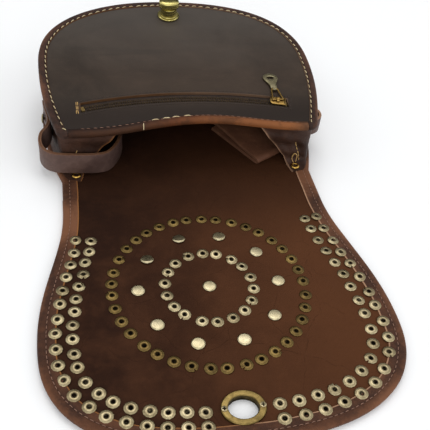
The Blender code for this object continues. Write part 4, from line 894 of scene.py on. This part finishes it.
def front_reach(x):
    """Where the front panel starts and ends at x: scoop, corner arc and side at the mouth, then its U."""
    scoop = mouth_scoop(x)
    x = np.abs(x) * BODY_HALF_WIDTH / FRONT_HALF
    corner = CORNER - np.sqrt(np.clip(CORNER ** 2 - (x - MOUTH_HALF) ** 2, 0, None))
    side = BODY_SHOULDER - BODY_SHOULDER * np.sqrt(np.clip((BODY_HALF_WIDTH - x) / BODY_WAIST, 0, None))
    first = np.where(x < MOUTH_HALF, scoop, np.where(x < MOUTH_HALF + CORNER, corner, side))
    bottom = BODY_END * np.clip(1 - (x / BODY_HALF_WIDTH) ** BODY_POWER, 0, None) ** (1 / BODY_POWER)
    return first + FRONT_INSET, BODY_SHOULDER - FRONT_INSET + bottom


def front_lift(x, s):
    """The panel's slight crown between the zip and the lock post, and two slow waves at its sides."""
    hump = np.sin(np.pi * np.clip((s - 84) / 76, 0, 1)) ** 2
    crown = 1.1 * hump * (1 - np.clip(np.abs(x) / 122, 0, 1) ** 2)
    return crown + 0.25 * np.sin(s / 17 + x / 40) * rise(np.abs(x), 60, 110) * rise(s, 84, 110)


reach = np.sin(np.linspace(0, np.pi / 2, 30))[1:] * (FRONT_HALF - ZIP_HALF) + ZIP_HALF
front_x = np.concatenate([-reach[::-1], np.linspace(-ZIP_HALF, ZIP_HALF, 133), reach])
first, last = front_reach(front_x)
zip_end_first, zip_end_last = front_reach(ZIP_HALF)
share = (zip_line(ZIP_HALF) - zip_end_first) / (zip_end_last - zip_end_first)
by_zip = np.abs(front_x) <= ZIP_HALF
middle = np.where(by_zip, zip_line(front_x), first + share * (last - first))
gap = SLOT_HALF * np.where(by_zip, 1, (last - first) / (zip_end_last - zip_end_first))
to_slot = np.array([0, 0.12, 0.25, 0.4, 0.55, 0.7, 0.82, 0.92, 0.97, 0.985, 1])[:, None]
from_slot = np.concatenate([[0, 0.004, 0.009, 0.02], np.linspace(0.04, 1, 62)])[:, None]
front_s = np.vstack([first + to_slot * (middle - gap - first),
                     middle + gap + from_slot * (last - middle - gap)])
front_faces = quads(*front_s.shape)
column, row = front_faces[:, 0] % front_x.size, front_faces[:, 0] // front_x.size
beside = np.minimum(column + 1, front_x.size - 1)
in_slot = (row == len(to_slot) - 1) & (np.abs(front_x[column] + front_x[beside]) < 2 * ZIP_HALF)
raw = np.zeros(front_s.shape)
raw[len(to_slot)] = 0.3 * by_zip
# The far end's paler grey on this panel is a painted sheen.
front_paint = hide("front_grain", (44, 35, 28), (64, 51, 41), mottle=9.0, gloss=0.45, grain=0.00015,
                   streak=(0.1, 1.0, 1.0), painted_sheen=(84, 79, 74), crease=0.15, stain=(30, 19, 12))
front = upward(piece("front_leather", on_front(front_x, front_s, front_lift(front_x, front_s)),
                     front_faces[~in_slot], front_paint,
                     {"raw": raw, "soil": 0.85 * (1 - rise(front_s, 20, 52))}, outward=False))
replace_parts(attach(walled(front, LEATHER), "bag"), "front_panel")

# Its edge band is the same brown leather, rolled over a cord-thick edge and sewn by hand with heavy cream
# thread in a groove. The mouth has a redder band of its own, darkened by hands at its left end.
FRONT_BAND = np.array([  # depth in from the edge, height, how rubbed, how raw, how soiled
    (7.6, 0.1, 0, 0.4, 0.6), (7.6, 0.8, 0, 0.5, 0.5), (7.2, 1.15, 0, 0, 0.6), (6.6, 0.85, 0, 0, 0.95),
    (6.0, 1.2, 0, 0, 0.5), (4.6, 1.65, 0.15, 0, 0), (3.0, 1.85, 0.4, 0, 0), (1.4, 1.5, 0.7, 0, 0),
    (0.4, 0.6, 0.8, 0, 0), (0.0, -0.8, 0.6, 0, 0), (0.0, -2.2, 0.5, 0, 0), (0.4, -3.3, 0.3, 0, 0),
    (1.4, -3.85, 0, 0, 0), (3.0, -3.9, 0, 0, 0), (7.5, -3.9, 0, 1, 0), (7.5, -2.6, 0, 1, 0),
    (1.4, -2.55, 0, 0, 0), (1.3, 0.05, 0, 0, 0)])
FRONT_SEAM_IN = 6.9
cream_thread = thread("cream_thread", (216, 198, 156), (160, 128, 86))
turn = np.linspace(0, np.pi / 2, 24, endpoint=False)
corner = np.column_stack([MOUTH_HALF + CORNER * np.sin(turn), CORNER - CORNER * np.cos(turn)])
front_path = spaced(both_sides(np.vstack([[[103.84, 0.0]], corner, body_edge(CORNER)])), step=2.0)
front_band_paint = hide("front_band_brown", (44, 29, 23), (82, 54, 42), mottle=38.0, gloss=0.55, grain=0.0006,
                        crease=0.4)
front_band = banded("front_band", front_path, FRONT_BAND, front_band_paint, on_front, wobble=0.5)
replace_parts(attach(front_band, "bag"), "front_binding")


def front_up(x, y):
    """The unit normal of the tilted front panel, once for each place."""
    return np.array([0, -math.sin(TILT), math.cos(TILT)]) + np.zeros((np.size(x), 3))


def front_down(x, y):
    return -front_up(x, y)


seam_path = front_path + inward_normals(front_path) * FRONT_SEAM_IN
threads = joined(seam(seam_path, 7.15, 1.0, on_front, front_up, 5.0, 0.85, slant=0.16),
                 seam(seam_path, 7.15, -3.95, on_front, front_down, 4.6, 0.8, slant=0.1, start=1.0))
heavy = piece("front_stitching", *threads, cream_thread, sharp=None)
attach(heavy, "bag")
across_mouth = np.linspace(103.2, -103.2, 121)
mouth_path = np.column_stack([across_mouth, mouth_scoop(across_mouth)])
mouth_inside = left_normals(mouth_path) * np.sign(left_normals(mouth_path)[60, 1])


def mouth_paint():
    """The band's leather: dark brown at its left end, then orange brown, and grey with dirt at the right."""
    made = Finish("mouth_red")
    lay = made.attribute("lay", out=1)
    cloud = made.noise(lay, 32.0, detail=5, rough=0.62, warp=0.5)
    pores = made.noise(lay, 520.0, detail=3, rough=0.7)
    place = made.node("ShaderNodeSeparateXYZ", {}, lay) * 4.3 + 0.5 + (cloud - 0.5) * 0.22
    stops = [(0.0, linear(34, 21, 17)), (0.3, linear(40, 26, 21)), (0.45, linear(94, 53, 31)),
             (0.6, linear(118, 70, 40)), (0.86, linear(136, 84, 48)), (0.97, linear(74, 58, 46))]
    colour = made.node("ShaderNodeValToRGB", {"stops": stops}, place)
    stain = made.noise(lay, 90.0, detail=5, rough=0.7, warp=0.6)
    colour = made.mix((cloud * 0.6 + stain * 0.4).band(0.46, 0.6) * 0.75, colour, linear(52, 31, 21))
    colour = made.mix((made.attribute("soil") * 0.9).clamp(), colour, linear(34, 24, 20))
    colour = made.mix((made.attribute("wear") * (cloud + 0.2)).clamp() * 0.32, colour, linear(150, 98, 62))
    colour = made.mix(made.attribute("raw") * 0.7, colour, linear(150, 104, 70))
    return made.paint(Base_Color=colour, Roughness=(cloud * 0.3 + 0.4).clamp(),
                      Normal=made.bump(pores * 0.6 + cloud + stain, 0.0006), Specular_IOR_Level=0.1)


mouth_band = banded("mouth_band", mouth_path, FRONT_BAND, mouth_paint(), on_front, wobble=0.6,
                    inside=mouth_inside)
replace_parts(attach(mouth_band, "bag"), "mouth_binding")
seam_path = mouth_path + np.array([0, FRONT_SEAM_IN])
small_run = seam(seam_path[4:-4], 5.2, 0.95, on_front, front_up, 3.2, 0.5, slant=-0.1)
coarse = seam_path[(seam_path[:, 0] > -38) & (seam_path[:, 0] < 3)] + [0, 0.4]
big_run = seam(coarse, 9.0, 1.1, on_front, front_up, 6.6, 1.0, slant=-0.12)
over_edge = np.array([(-41.0, y) for y in np.linspace(2.4, 11.8, 6)])
upright = seam(over_edge, 9.4, 1.75, on_front, front_up, 8.6, 0.8)
mouth_threads = piece("mouth_stitching", *joined(big_run, upright), cream_thread, sharp=None)
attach(mouth_threads, "bag")
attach(piece("mouth_small_stitching", *small_run, brown_thread, sharp=None), "bag")

# The zip: two cotton tapes sewn under the slot, brass teeth clamped on their edges, a slider with a trapezoid
# wire link and a flat tag, and behind it the pocket's own bag of thin lining, sewn to the panel's back.
def arc_place(angle, out):
    """A place of the panel on the zip's arc: angle from its middle and distance out from its centre line."""
    return (ZIP_R + out) * np.sin(angle), ZIP_MIDDLE + (ZIP_R + out) * np.cos(angle)


def tape_finish():
    """Cotton tape: a herringbone of two diagonal sets of threads, faded and dusty."""
    made = Finish("zip_tape")
    at = made.attribute("weave", out=1)
    first, second = (made.node("ShaderNodeTexWave", {"bands_direction": way}, Vector=at, Scale=scale,
                               Distortion=bent)
                     for way, scale, bent in (("DIAGONAL", 9.0, 0.4), ("X", 14.0, 0.2)))
    dust = made.noise(at, 0.5, detail=4, rough=0.7)
    tone = made.mix(dust.band(0.4, 0.75) * 0.7, linear(46, 33, 25), linear(78, 56, 40))
    return made.paint(Base_Color=made.mix(first * second * 0.5, tone, linear(24, 18, 15)), Roughness=0.9,
                      Normal=made.bump(first * 0.6 + second * 0.4, 0.0002))


weave = tape_finish()
half_angle = math.asin(ZIP_HALF / ZIP_R)
for side, name in ((1, "bottom_side"), (-1, "mouth_side")):
    angle = np.linspace(-half_angle, half_angle, 160)[:, None] * 1.032
    out = side * np.array([3.15, 3.3, 9.0, 14.2, 14.2, 9.0, 3.3])[None, :]
    tall = np.array([-3.1, -2.72, -2.72, -2.72, -3.45, -3.45, -3.45])
    x, s = arc_place(angle, out)
    tape = piece(f"tape_{name}", on_front(x, s, tall), tube_faces(*x.shape), weave,
                 {"weave": grid(ZIP_R * angle, out, tall)}, sharp=50)
    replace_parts(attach(tape, "bag"), f"zip_tape_{name}")
TOOTH = np.array([(0.5, 0.1), (0.55, 0.75), (0.3, 0.95), (-0.3, 0.95), (-0.55, 0.75), (-0.5, 0.1), (-0.3, 0),
                  (0.3, 0)])
tooth_rings = [np.column_stack([TOOTH[:, 0] * wide * 1.1, 0.65 + TOOTH[:, 1] * wide * 2.3 + (1 - wide),
                                np.full(len(TOOTH), high)])
               for high, wide in ((-1.15, 0.84), (-0.9, 1), (0.85, 1), (1.15, 0.8))]
tooth = (np.vstack(tooth_rings), tube_faces(len(tooth_rings), len(TOOTH)))
teeth_paint = metal("teeth_brass", (74, 60, 40), (46, 37, 25), (20, 15, 10), rough=0.42)
for side, name in ((1, "bottom_side"), (-1, "mouth_side")):
    angle = np.arange(-88.2, 88.3, 2.1) / ZIP_R + (0 if side > 0 else 1.05 / ZIP_R)
    x, s = arc_place(angle, 0)
    places = on_front(x, s, -3.1)
    first_axis = unit(side * (on_front(*arc_place(angle + 0.001, 0)) - on_front(x, s)))
    points, faces = repeated(tooth, places, first_axis, front_up(x, s))
    row = piece(f"teeth_{name}", points, faces, teeth_paint,
                {"shade": np.repeat(chance.uniform(0, 1, len(angle)), len(tooth[0]))}, sharp=30)
    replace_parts(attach(row, "bag"), f"zip_teeth_{name}")
dark_thread = thread("dark_thread", (58, 44, 36), (34, 26, 22))
seams = []
for out in (8.6, -8.6):
    line = np.column_stack(arc_place(np.linspace(-half_angle, half_angle, 200) * 1.03, out))
    seams.append(seam(line, 3.3, 0.05, on_front, front_up, 2.3, 0.5))
for side in (-1, 1):
    ends = np.column_stack(arc_place(side * half_angle * 1.03, np.linspace(-8.6, 8.6, 12)))
    seams.append(seam(ends, 3.2, 0.05, on_front, front_up, 2.3, 0.5))
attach(piece("zip_stitching", *joined(*seams), dark_thread, sharp=None), "bag")
tack = [seam(np.column_stack([np.full(6, x), np.linspace(27.0, 43.4, 6)]), 5.4, 0.1, on_front, front_up,
             4.9, 0.8) for x in (-95.6, -94.3)]
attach(piece("zip_end_tack", *joined(*tack), tan_thread, sharp=None), "bag")


def stacked(outline, levels):
    """Copies of a closed outline at several heights, each drawn in by its own amount along its normals."""
    ahead = unit(np.roll(outline, -1, axis=0) - np.roll(outline, 1, axis=0))
    out = np.column_stack([ahead[:, 1], -ahead[:, 0]])
    out *= np.sign((out * (outline - outline.mean(axis=0))).sum())
    rings = [np.column_stack([outline - out * drawn_in, np.full(len(outline), high)])
             for high, drawn_in in levels]
    return np.vstack(rings), tube_faces(len(levels), len(outline))


def oval(half_long, half_wide, count, power=2.0):
    """A superellipse of two half lengths as a closed outline."""
    turn = 2 * np.pi * np.arange(count) / count
    c, s = np.cos(turn), np.sin(turn)
    return np.column_stack([half_long * np.sign(c) * abs(c) ** (2 / power),
                            half_wide * np.sign(s) * abs(s) ** (2 / power)])


def placed(shape, origin, first, second):
    """A shape moved so that its x and y axes lie along two unit vectors from an origin."""
    points, faces = shape
    first, second = np.asarray(first, float), np.asarray(second, float)
    return origin + points @ np.array([first, second, np.cross(first, second)]), faces


FRONT_Y = np.array([0, math.cos(TILT), math.sin(TILT)])
SLIDER_X, LINK_LENGTH = 83, 15
slider_turn = math.asin(SLIDER_X / ZIP_R)
slider_x = np.array([1.0, 0, 0]) * math.cos(slider_turn) - FRONT_Y * math.sin(slider_turn)
slider_y = np.array([1.0, 0, 0]) * math.sin(slider_turn) + FRONT_Y * math.cos(slider_turn)
slider_at = on_front(*arc_place(slider_turn, 0.0))
gilt = metal("slider_gilt", (140, 112, 60), (84, 68, 40), (30, 23, 14), rough=0.36)
shield = smooth_path([(-7.0, -2.6), (-4.4, -4.9), (5.6, -4.9), (7.0, -4.0), (7.0, 4.0), (5.6, 4.9),
                      (-4.4, 4.9), (-7.0, 2.6), (-7.0, -2.6)], 73)[:-1]
top_plate = stacked(shield, [(0.4, 0.25), (0.55, 0), (1.1, 0), (1.4, 0.5), (1.5, 1.6)])
under_plate = stacked(shield, [(-5.6, 0.4), (-5.4, 0), (-4.75, 0), (-4.62, 0.3)])
neck_post = stacked(oval(3.2, 0.42, 24), [(-5.0, 0), (0.9, 0)])
arch_turn = np.linspace(0, np.pi, 17)
arch = grid(0, 2.6 * np.cos(arch_turn), 1.1 + 2.9 * np.sin(arch_turn) ** 0.7)
arch_out = grid(0, np.cos(arch_turn), np.sin(arch_turn))
band_x = np.array([-1.3, -1.0, 1.0, 1.3, 1.0, -1.0])
band_out = np.array([0.05, 0.4, 0.4, 0.05, -0.35, -0.35])
arch_points = (arch[:, None] + band_x[None, :, None] * [1.0, 0, 0]
               + band_out[None, :, None] * arch_out[:, None])
parts = [placed(shape, slider_at, slider_x, slider_y) for shape in
         (top_plate, under_plate, neck_post, (arch_points.reshape(-1, 3), tube_faces(17, 6)))]
slider = piece("slider_cast", *joined(*parts), gilt, sharp=40)
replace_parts(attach(slider, "slider"), "zip_slider")


def wire(path, radius, sides=10, close=False):
    """A round wire along a path in space, its section turned by the path's own direction."""
    ahead = np.roll(path, -1, axis=0) - np.roll(path, 1, axis=0) if close else np.gradient(path, axis=0)
    ahead = unit(ahead)
    first = unit(np.cross(ahead, [0, 0, 1.0]))
    second = np.cross(first, ahead)
    turn = 2 * np.pi * np.arange(sides) / sides
    points = path[:, None] + radius * (np.cos(turn)[None, :, None] * first[:, None]
                                       + np.sin(turn)[None, :, None] * second[:, None])
    return points.reshape(-1, 3), tube_faces(len(path), sides, close)


link_drop, tag_drop = math.asin(0.4 / LINK_LENGTH), math.asin(1.05 / 24)
link_at = on_front(*arc_place(slider_turn, 0.0), 2.4)
link_y, tag_y = (FRONT_Y * math.cos(drop) - front_up(0, 0)[0] * math.sin(drop)
                 for drop in (link_drop, tag_drop))
loop = smooth_path([(-4.2, 0.0), (0, 0.0), (4.2, 0.0), (4.75, 0.6), (3.9, 7), (2.9, 14.2), (2.2, 15), (0, 15),
                    (-2.2, 15), (-2.9, 14.2), (-3.9, 7), (-4.75, 0.6), (-4.2, 0.0)], 97)[:-1]
link_wire = wire(grid(*loop.T, 0), 0.85, close=True)
link = piece("link_wire", *placed(link_wire, link_at, [1, 0, 0], link_y), gilt, sharp=None)
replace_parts(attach(link, "link"), "pull_link")
tag_at = link_at + link_y * LINK_LENGTH
turn = np.linspace(-0.12, np.pi + 0.12, 41)
rim = np.vstack([[(2.6, 1.4), (3.0, 2.6), (3.1, 6.0), (4.0, 9.5), (5.8, 12.8)],
                 np.column_stack([7 * np.cos(turn), 17 + 7 * np.sin(turn)]),
                 [(-5.8, 12.8), (-4.0, 9.5), (-3.1, 6.0), (-3.0, 2.6), (-2.6, 1.4), (2.6, 1.4)]])
rim = spaced(rim, count=97)[:-1]
aim = np.arctan2(rim[:, 1] - 17, rim[:, 0])
eye = np.column_stack([3.4 * np.cos(aim), 17 + 2.1 * np.sin(aim)])
TAG = np.array([  # share of the way from the eye to the rim, height
    (0, -0.5), (0, 0.5), (0.04, 0.62), (0.3, 0.68), (0.93, 0.62), (1, 0.4), (1, -0.4), (0.93, -0.62),
    (0.04, -0.62)])
tag_points = np.concatenate([eye[:, None] + TAG[None, :, :1] * (rim - eye)[:, None],
                             np.broadcast_to(TAG[None, :, 1:], (len(rim), len(TAG), 1))], axis=-1)
curl_turn = 2 * np.pi * np.arange(24)[:, None] / 24
curl_x, curl_r = np.array([-1.55, 1.55, 1.55, -1.55]), np.array([1.05, 1.05, 1.65, 1.65])
curl = grid(curl_x, curl_r * np.cos(curl_turn), curl_r * np.sin(curl_turn))
tag_metal = metal("tag_olive", (126, 118, 92), (92, 86, 66), (40, 34, 24), rough=0.45)
tag = piece("tag_plate", *joined(*[placed((points.reshape(-1, 3), tube_faces(*points.shape[:2], close=True)),
                                          tag_at, [1, 0, 0], tag_y) for points in (tag_points, curl)]),
            tag_metal, sharp=40)
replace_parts(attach(tag, "tag"), "pull_tag")
pouch = oval(102, 54.5, 96, 5.0) + [0, 71]
bag_levels = [(-2.75, 0.3), (-3.3, 0), (-4.2, 0.3), (-5.4, 2.5), (-6.6, 8), (-7.3, 18), (-7.5, 34)]
pouch_points, pouch_faces = stacked(pouch, bag_levels)
sag = 0.3 * np.sin(pouch_points[:, 0] / 9) * np.sin(pouch_points[:, 1] / 13)
pouch_points[:, 2] -= sag * (pouch_points[:, 2] < -5)
lining = piece("pocket_lining", on_front(*pouch_points.T), pouch_faces, weave,
               {"weave": pouch_points}, sharp=None)
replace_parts(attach(lining, "bag"), "zip_pocket_bag")

# The turn lock's post: a brass stem turned with three grooves, riveted through the panel over a washer,
# and an oval knob on a spindle that turns by a quarter to lock the ring. Its zinc plating has yellowed.
POST = np.array([  # radius, height over the leather, dirt
    (0, 14.6, 0), (2.5, 14.6, 0), (2.5, 10.75, 0.3), (7.3, 10.7, 0), (8, 10.2, 0), (8, 8.7, 0),
    (7.35, 8.4, 0.8), (7.35, 7.9, 0.8), (8, 7.6, 0), (8, 6.0, 0), (7.35, 5.7, 0.8), (7.35, 5.2, 0.8),
    (8, 4.9, 0), (8, 2.9, 0.1), (8.4, 2.35, 0.6), (10.1, 2.3, 0), (10.8, 1.95, 0), (10.9, 1.0, 0),
    (10.5, 0.35, 0.5), (3, 0.3, 1), (3, -4.7, 1), (0, -4.7, 1)])
zinc = metal("zinc_yellow", (190, 178, 112), (136, 126, 72), (60, 50, 24), rough=0.24)
post_at = on_front(0.0, 172.301)
post_shape, rank = turned(POST, 48)
post = piece("post_turned", *placed(post_shape, post_at, [1, 0, 0], FRONT_Y), zinc, {"dirt": POST[rank, 2]},
             sharp=35)
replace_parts(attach(post, "bag"), "post_base")
knob_levels = [  # height over the leather, how far in from the knob's widest
    (14.75, 5.2), (14.75, 4.9), (11.0, 4.9), (11.0, 1.2), (11.35, 0.35), (12.0, 0), (13.1, 0), (13.35, 0.45),
    (13.75, 0.45), (14.0, 0), (15.0, 0), (15.25, 0.45), (15.65, 0.45), (15.9, 0), (16.9, 0.1), (17.6, 0.6),
    (18.0, 1.6), (18.0, 6.0)]
knob_shape = stacked(oval(9.9, 7.4, 72, 2.3), knob_levels)
knob = piece("knob_cast", *placed(knob_shape, post_at, [1, 0, 0], FRONT_Y), zinc, sharp=35)
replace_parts(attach(knob, "knob"), "turn_knob")

# Two small tubular eyelets pin the folded ends of the gusset to the neck of the back, and the thread of the
# seam that starts there is left in a loose loop.
EYELET = np.array([(2.0, 0.0), (1.9, 0.9), (2.4, 1.15), (3.3, 1.0), (4.15, 0.35), (4.1, 0.0)])
turn = 2 * np.pi * np.arange(32)[:, None] / 32
eyelet = (round_z(EYELET[:, 0], EYELET[:, 1], turn).reshape(-1, 3),
          tube_faces(len(turn), len(EYELET), close=True))
eyelet_brass = metal("eyelet_brass", (186, 150, 76), (140, 108, 52), (44, 32, 16), rough=0.28)
eyelets = [placed(eyelet, np.array([side * 98.7, 34.6, 5.9]), [1, 0, 0], [0, 1, 0]) for side in (-1, 1)]
for made, name in zip(eyelets, ("neck_eyelet_left", "neck_eyelet_right")):
    ring = piece(name + "_rolled", *made, eyelet_brass, sharp=None)
    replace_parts(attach(ring, "bag"), name)
THREAD_END = (98.2, 38.4, 6.6), (96.6, 40.6, 10), (97.6, 40.2, 15.5), (100.6, 39.9, 14), (100.2, 38.8, 7.4)
loops = [wire(smooth_path([(side * x, y, z) for x, y, z in THREAD_END], 41), 0.42, 8) for side in (-1, 1)]
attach(piece("eyelet_thread_ends", *joined(*loops), tan_thread, sharp=None), "bag")

# The shoulder strap: two layers of brown leather glued and sewn back to back, their cut edges left raw. Its
# sewn end is riveted to the gusset's left side, it dives into the mouth, and the rest is stowed inside.
strap_paint = hide("strap_hide", (74, 56, 51), (104, 82, 74), mottle=30.0, gloss=0.45, grain=0.0003,
                   crease=0.4)
shoulder_paint = hide("shoulder_hide", (90, 58, 42), (122, 82, 60), mottle=22.0, grain=0.0004, crease=0.3)
STRAP_HALF, STRAP_HEIGHT = 10.0, 27.5
RIVETED_AT = np.array([-125.3, 89.4, STRAP_HEIGHT])
STRAP = np.array([  # across its thickness, along its width as a share of half of it, how rubbed, raw, soiled
    (-1.5, -0.95, 0.2, 0, 0), (-1.62, 0, 0, 0, 0), (-1.5, 0.95, 0.3, 0, 0), (-1.2, 1.0, 0.2, 1, 0),
    (-0.25, 1.0, 0, 1, 0), (0.0, 0.95, 0, 0.3, 1), (0.25, 1.0, 0, 1, 0), (1.2, 1.0, 0.2, 1, 0),
    (1.5, 0.95, 0.3, 0, 0), (1.62, 0, 0, 0, 0), (1.5, -0.95, 0.2, 0, 0), (1.2, -1.0, 0, 0.6, 0),
    (0.25, -1.0, 0, 0.6, 0), (0.0, -0.95, 0, 0, 1), (-0.25, -1.0, 0, 0.6, 0), (-1.2, -1.0, 0, 0.6, 0)])


def strap_length(name, centres, up, half_width, ripple, finish=None, cut=0.45):
    """A stretch of strap: its section carried along centres, its width along up, rippled by a slow sine."""
    ahead = np.gradient(centres, axis=0)
    ahead = unit(ahead - up * np.einsum("ij,ij->i", ahead, up)[:, None])
    thick = np.cross(ahead, up)
    run = run_of(centres)[:, None]
    wave = ripple * np.sin(run / 8.3 + 2 * STRAP[None, :, 1]) * STRAP[None, :, 1] + 0 * run
    points = (centres[:, None] + (STRAP[None, :, :1] + wave[..., None]) * thick[:, None]
              + STRAP[None, :, 1:2] * half_width * up[:, None])
    marks = {"wear": STRAP[:, 2], "raw": STRAP[:, 3] * cut, "soil": STRAP[:, 4]}
    return piece(name, points, tube_faces(*points.shape[:2]), finish or strap_paint, marks, sharp=50)


def upright_of(count, vector):
    """The same direction for each of a number of places."""
    return np.tile(unit(np.asarray(vector, float)), (count, 1))


run_line = smooth_path([
    (-123.58, 103.4, 27.5), (-122.06, 89.4, 27.5), (-119.89, 75.4, 27.2), (-121.5, 66.5, 26.0),
    (-126.2, 60.2, 23.4), (-127.2, 52.0, 19.6), (-123.5, 43.9, 17.9), (-116.0, 38.1, 18.0),
    (-105.0, 36.2, 18.0), (-93.0, 35.8, 17.9), (-81.5, 36.9, 16.9), (-71.5, 40.4, 15.9), (-64.0, 49.4, 15.9),
    (-59.5, 61.4, 15.9), (-58.0, 74.4, 15.9), (-60.0, 89.4, 15.9), (-64.0, 104.4, 15.9),
    (-68.0, 119.4, 15.9)], 150)
left_run = strap_length("strap_left", run_line, upright_of(len(run_line), (0, 0, 1)), STRAP_HALF, ripple=0.35)
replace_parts(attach(left_run, "bag"), "strap_left_run")
turn_by = math.radians(30.6)
fold_x = np.array([math.cos(turn_by), math.sin(turn_by), 0])
fold_y = np.array([-math.sin(turn_by), math.cos(turn_by), 0])
bend = np.linspace(0, np.pi, 15)[1:-1]
top_run = np.linspace(0, 100, 40)
top_height = 9.9 + 4 * rise(top_run, 8, 50) + 0.5 * np.sin(top_run / 17)
side_view = np.vstack([np.column_stack([np.linspace(60, 0, 24), np.full(24, 5.9)]),
                       np.column_stack([-4 * np.sin(bend), 7.9 - 2 * np.cos(bend)]),
                       np.column_stack([top_run, top_height])])
band_line = np.array([78, 53.4, 0]) + side_view[:, :1] * fold_y + side_view[:, 1:] * [0, 0, 1.0]
shoulder = strap_length("strap_shoulder_fold", band_line, upright_of(len(band_line), fold_x), 19.0,
                        ripple=0.0, finish=shoulder_paint, cut=0.1)
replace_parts(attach(shoulder, "bag"), "strap_shoulder")
LAYER_RISE = 4.2
turns = np.linspace(0, np.pi, 9)[1:-1]
layers = []
for layer in range(6):
    side, high = (-1 if layer % 2 else 1), 5.9 + LAYER_RISE * layer
    layers.append(np.column_stack([side * np.linspace(-60, 60, 13), np.full(13, high)]))
    if layer < 5:
        layers.append(np.column_stack([side * (60 + LAYER_RISE / 2 * np.sin(turns)),
                                       high + LAYER_RISE / 2 * (1 - np.cos(turns))]))
layers = np.vstack(layers)
stow_line = grid(layers[:, 0], 166.4, layers[:, 1])
stowed = strap_length("strap_folds", stow_line, upright_of(len(stow_line), (0, 1, 0)), STRAP_HALF, ripple=0.0)
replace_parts(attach(stowed, "bag"), "strap_stowed")
RIVET_CAP = np.array([(0, 1.1), (2.6, 1.0), (3.9, 0.65), (4.5, 0.05), (4.3, -0.3), (1.2, -0.4), (1.2, -4.5),
                      (0, -4.5)])
lean = math.atan2(1.84, 14.0)
out_way = np.array([-math.cos(lean), math.sin(lean), 0])
cap_shape = placed(turned(RIVET_CAP, 24)[0], RIVETED_AT, [0, 0, 1], np.cross(out_way, [0, 0, 1]))
strap_cap = piece("strap_rivet_cap", *cap_shape, nickel, sharp=None)
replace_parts(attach(strap_cap, "bag"), "strap_rivet")

# The side loop: a short strip of the same strap leather, bent round until its ends meet. It stands on the
# gusset's right side and is sewn to it along its straight side.
turn = np.linspace(-np.pi / 2, np.pi / 2, 49)
bow_line = np.vstack([np.column_stack([12 * np.cos(turn) - 1.3, 11.7 * np.sin(turn)]),
                      np.column_stack([np.full(15, 0.9), np.linspace(11.3, -11.3, 17)[1:-1]])])
lean = math.atan2(117.55 - 115.7, 14.0)
loop_x, loop_y = np.array([math.cos(lean), -math.sin(lean)]), np.array([math.sin(lean), math.cos(lean)])
loop_line = np.array([118.1, 75.4]) + np.maximum(bow_line[:, :1], 0.9) * loop_x + bow_line[:, 1:] * loop_y
ahead = unit(np.roll(loop_line, -1, axis=0) - np.roll(loop_line, 1, axis=0))
out = grid(ahead[:, 1], -ahead[:, 0], 0)
section = STRAP[:, :2] * [0.85, 8.0]
points = (grid(*loop_line.T, STRAP_HEIGHT)[:, None] + section[None, :, :1] * out[:, None]
          + section[None, :, 1:] * np.array([0, 0, 1.0]))
side_loop = piece("loop_bent", points, tube_faces(*points.shape[:2], close=True), strap_paint,
                  {"raw": STRAP[:, 3], "wear": STRAP[:, 2]}, sharp=50)
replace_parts(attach(side_loop, "bag"), "side_loop")

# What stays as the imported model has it: the lock's plate behind the flap, the washer behind the post and the
# zip's two end stops. They are plain stampings of thin brass, and little or nothing of them is ever seen.
plain_brass = Finish("plain_brass")
clouds = plain_brass.noise(plain_brass.node("ShaderNodeTexCoord", {}, out=3), 260.0, detail=4, rough=0.65)
plain_brass.paint(Base_Color=plain_brass.mix(clouds.band(0.35, 0.7), linear(112, 92, 52), linear(62, 50, 30)),
                  Metallic=0.9, Roughness=(clouds * 0.4 + 0.25).clamp())
for name in ("lock_back_plate", "post_washer", "zip_stop_left", "zip_stop_right"):
    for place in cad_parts[name].material_slots:
        place.material = plain_brass.material

low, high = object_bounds()
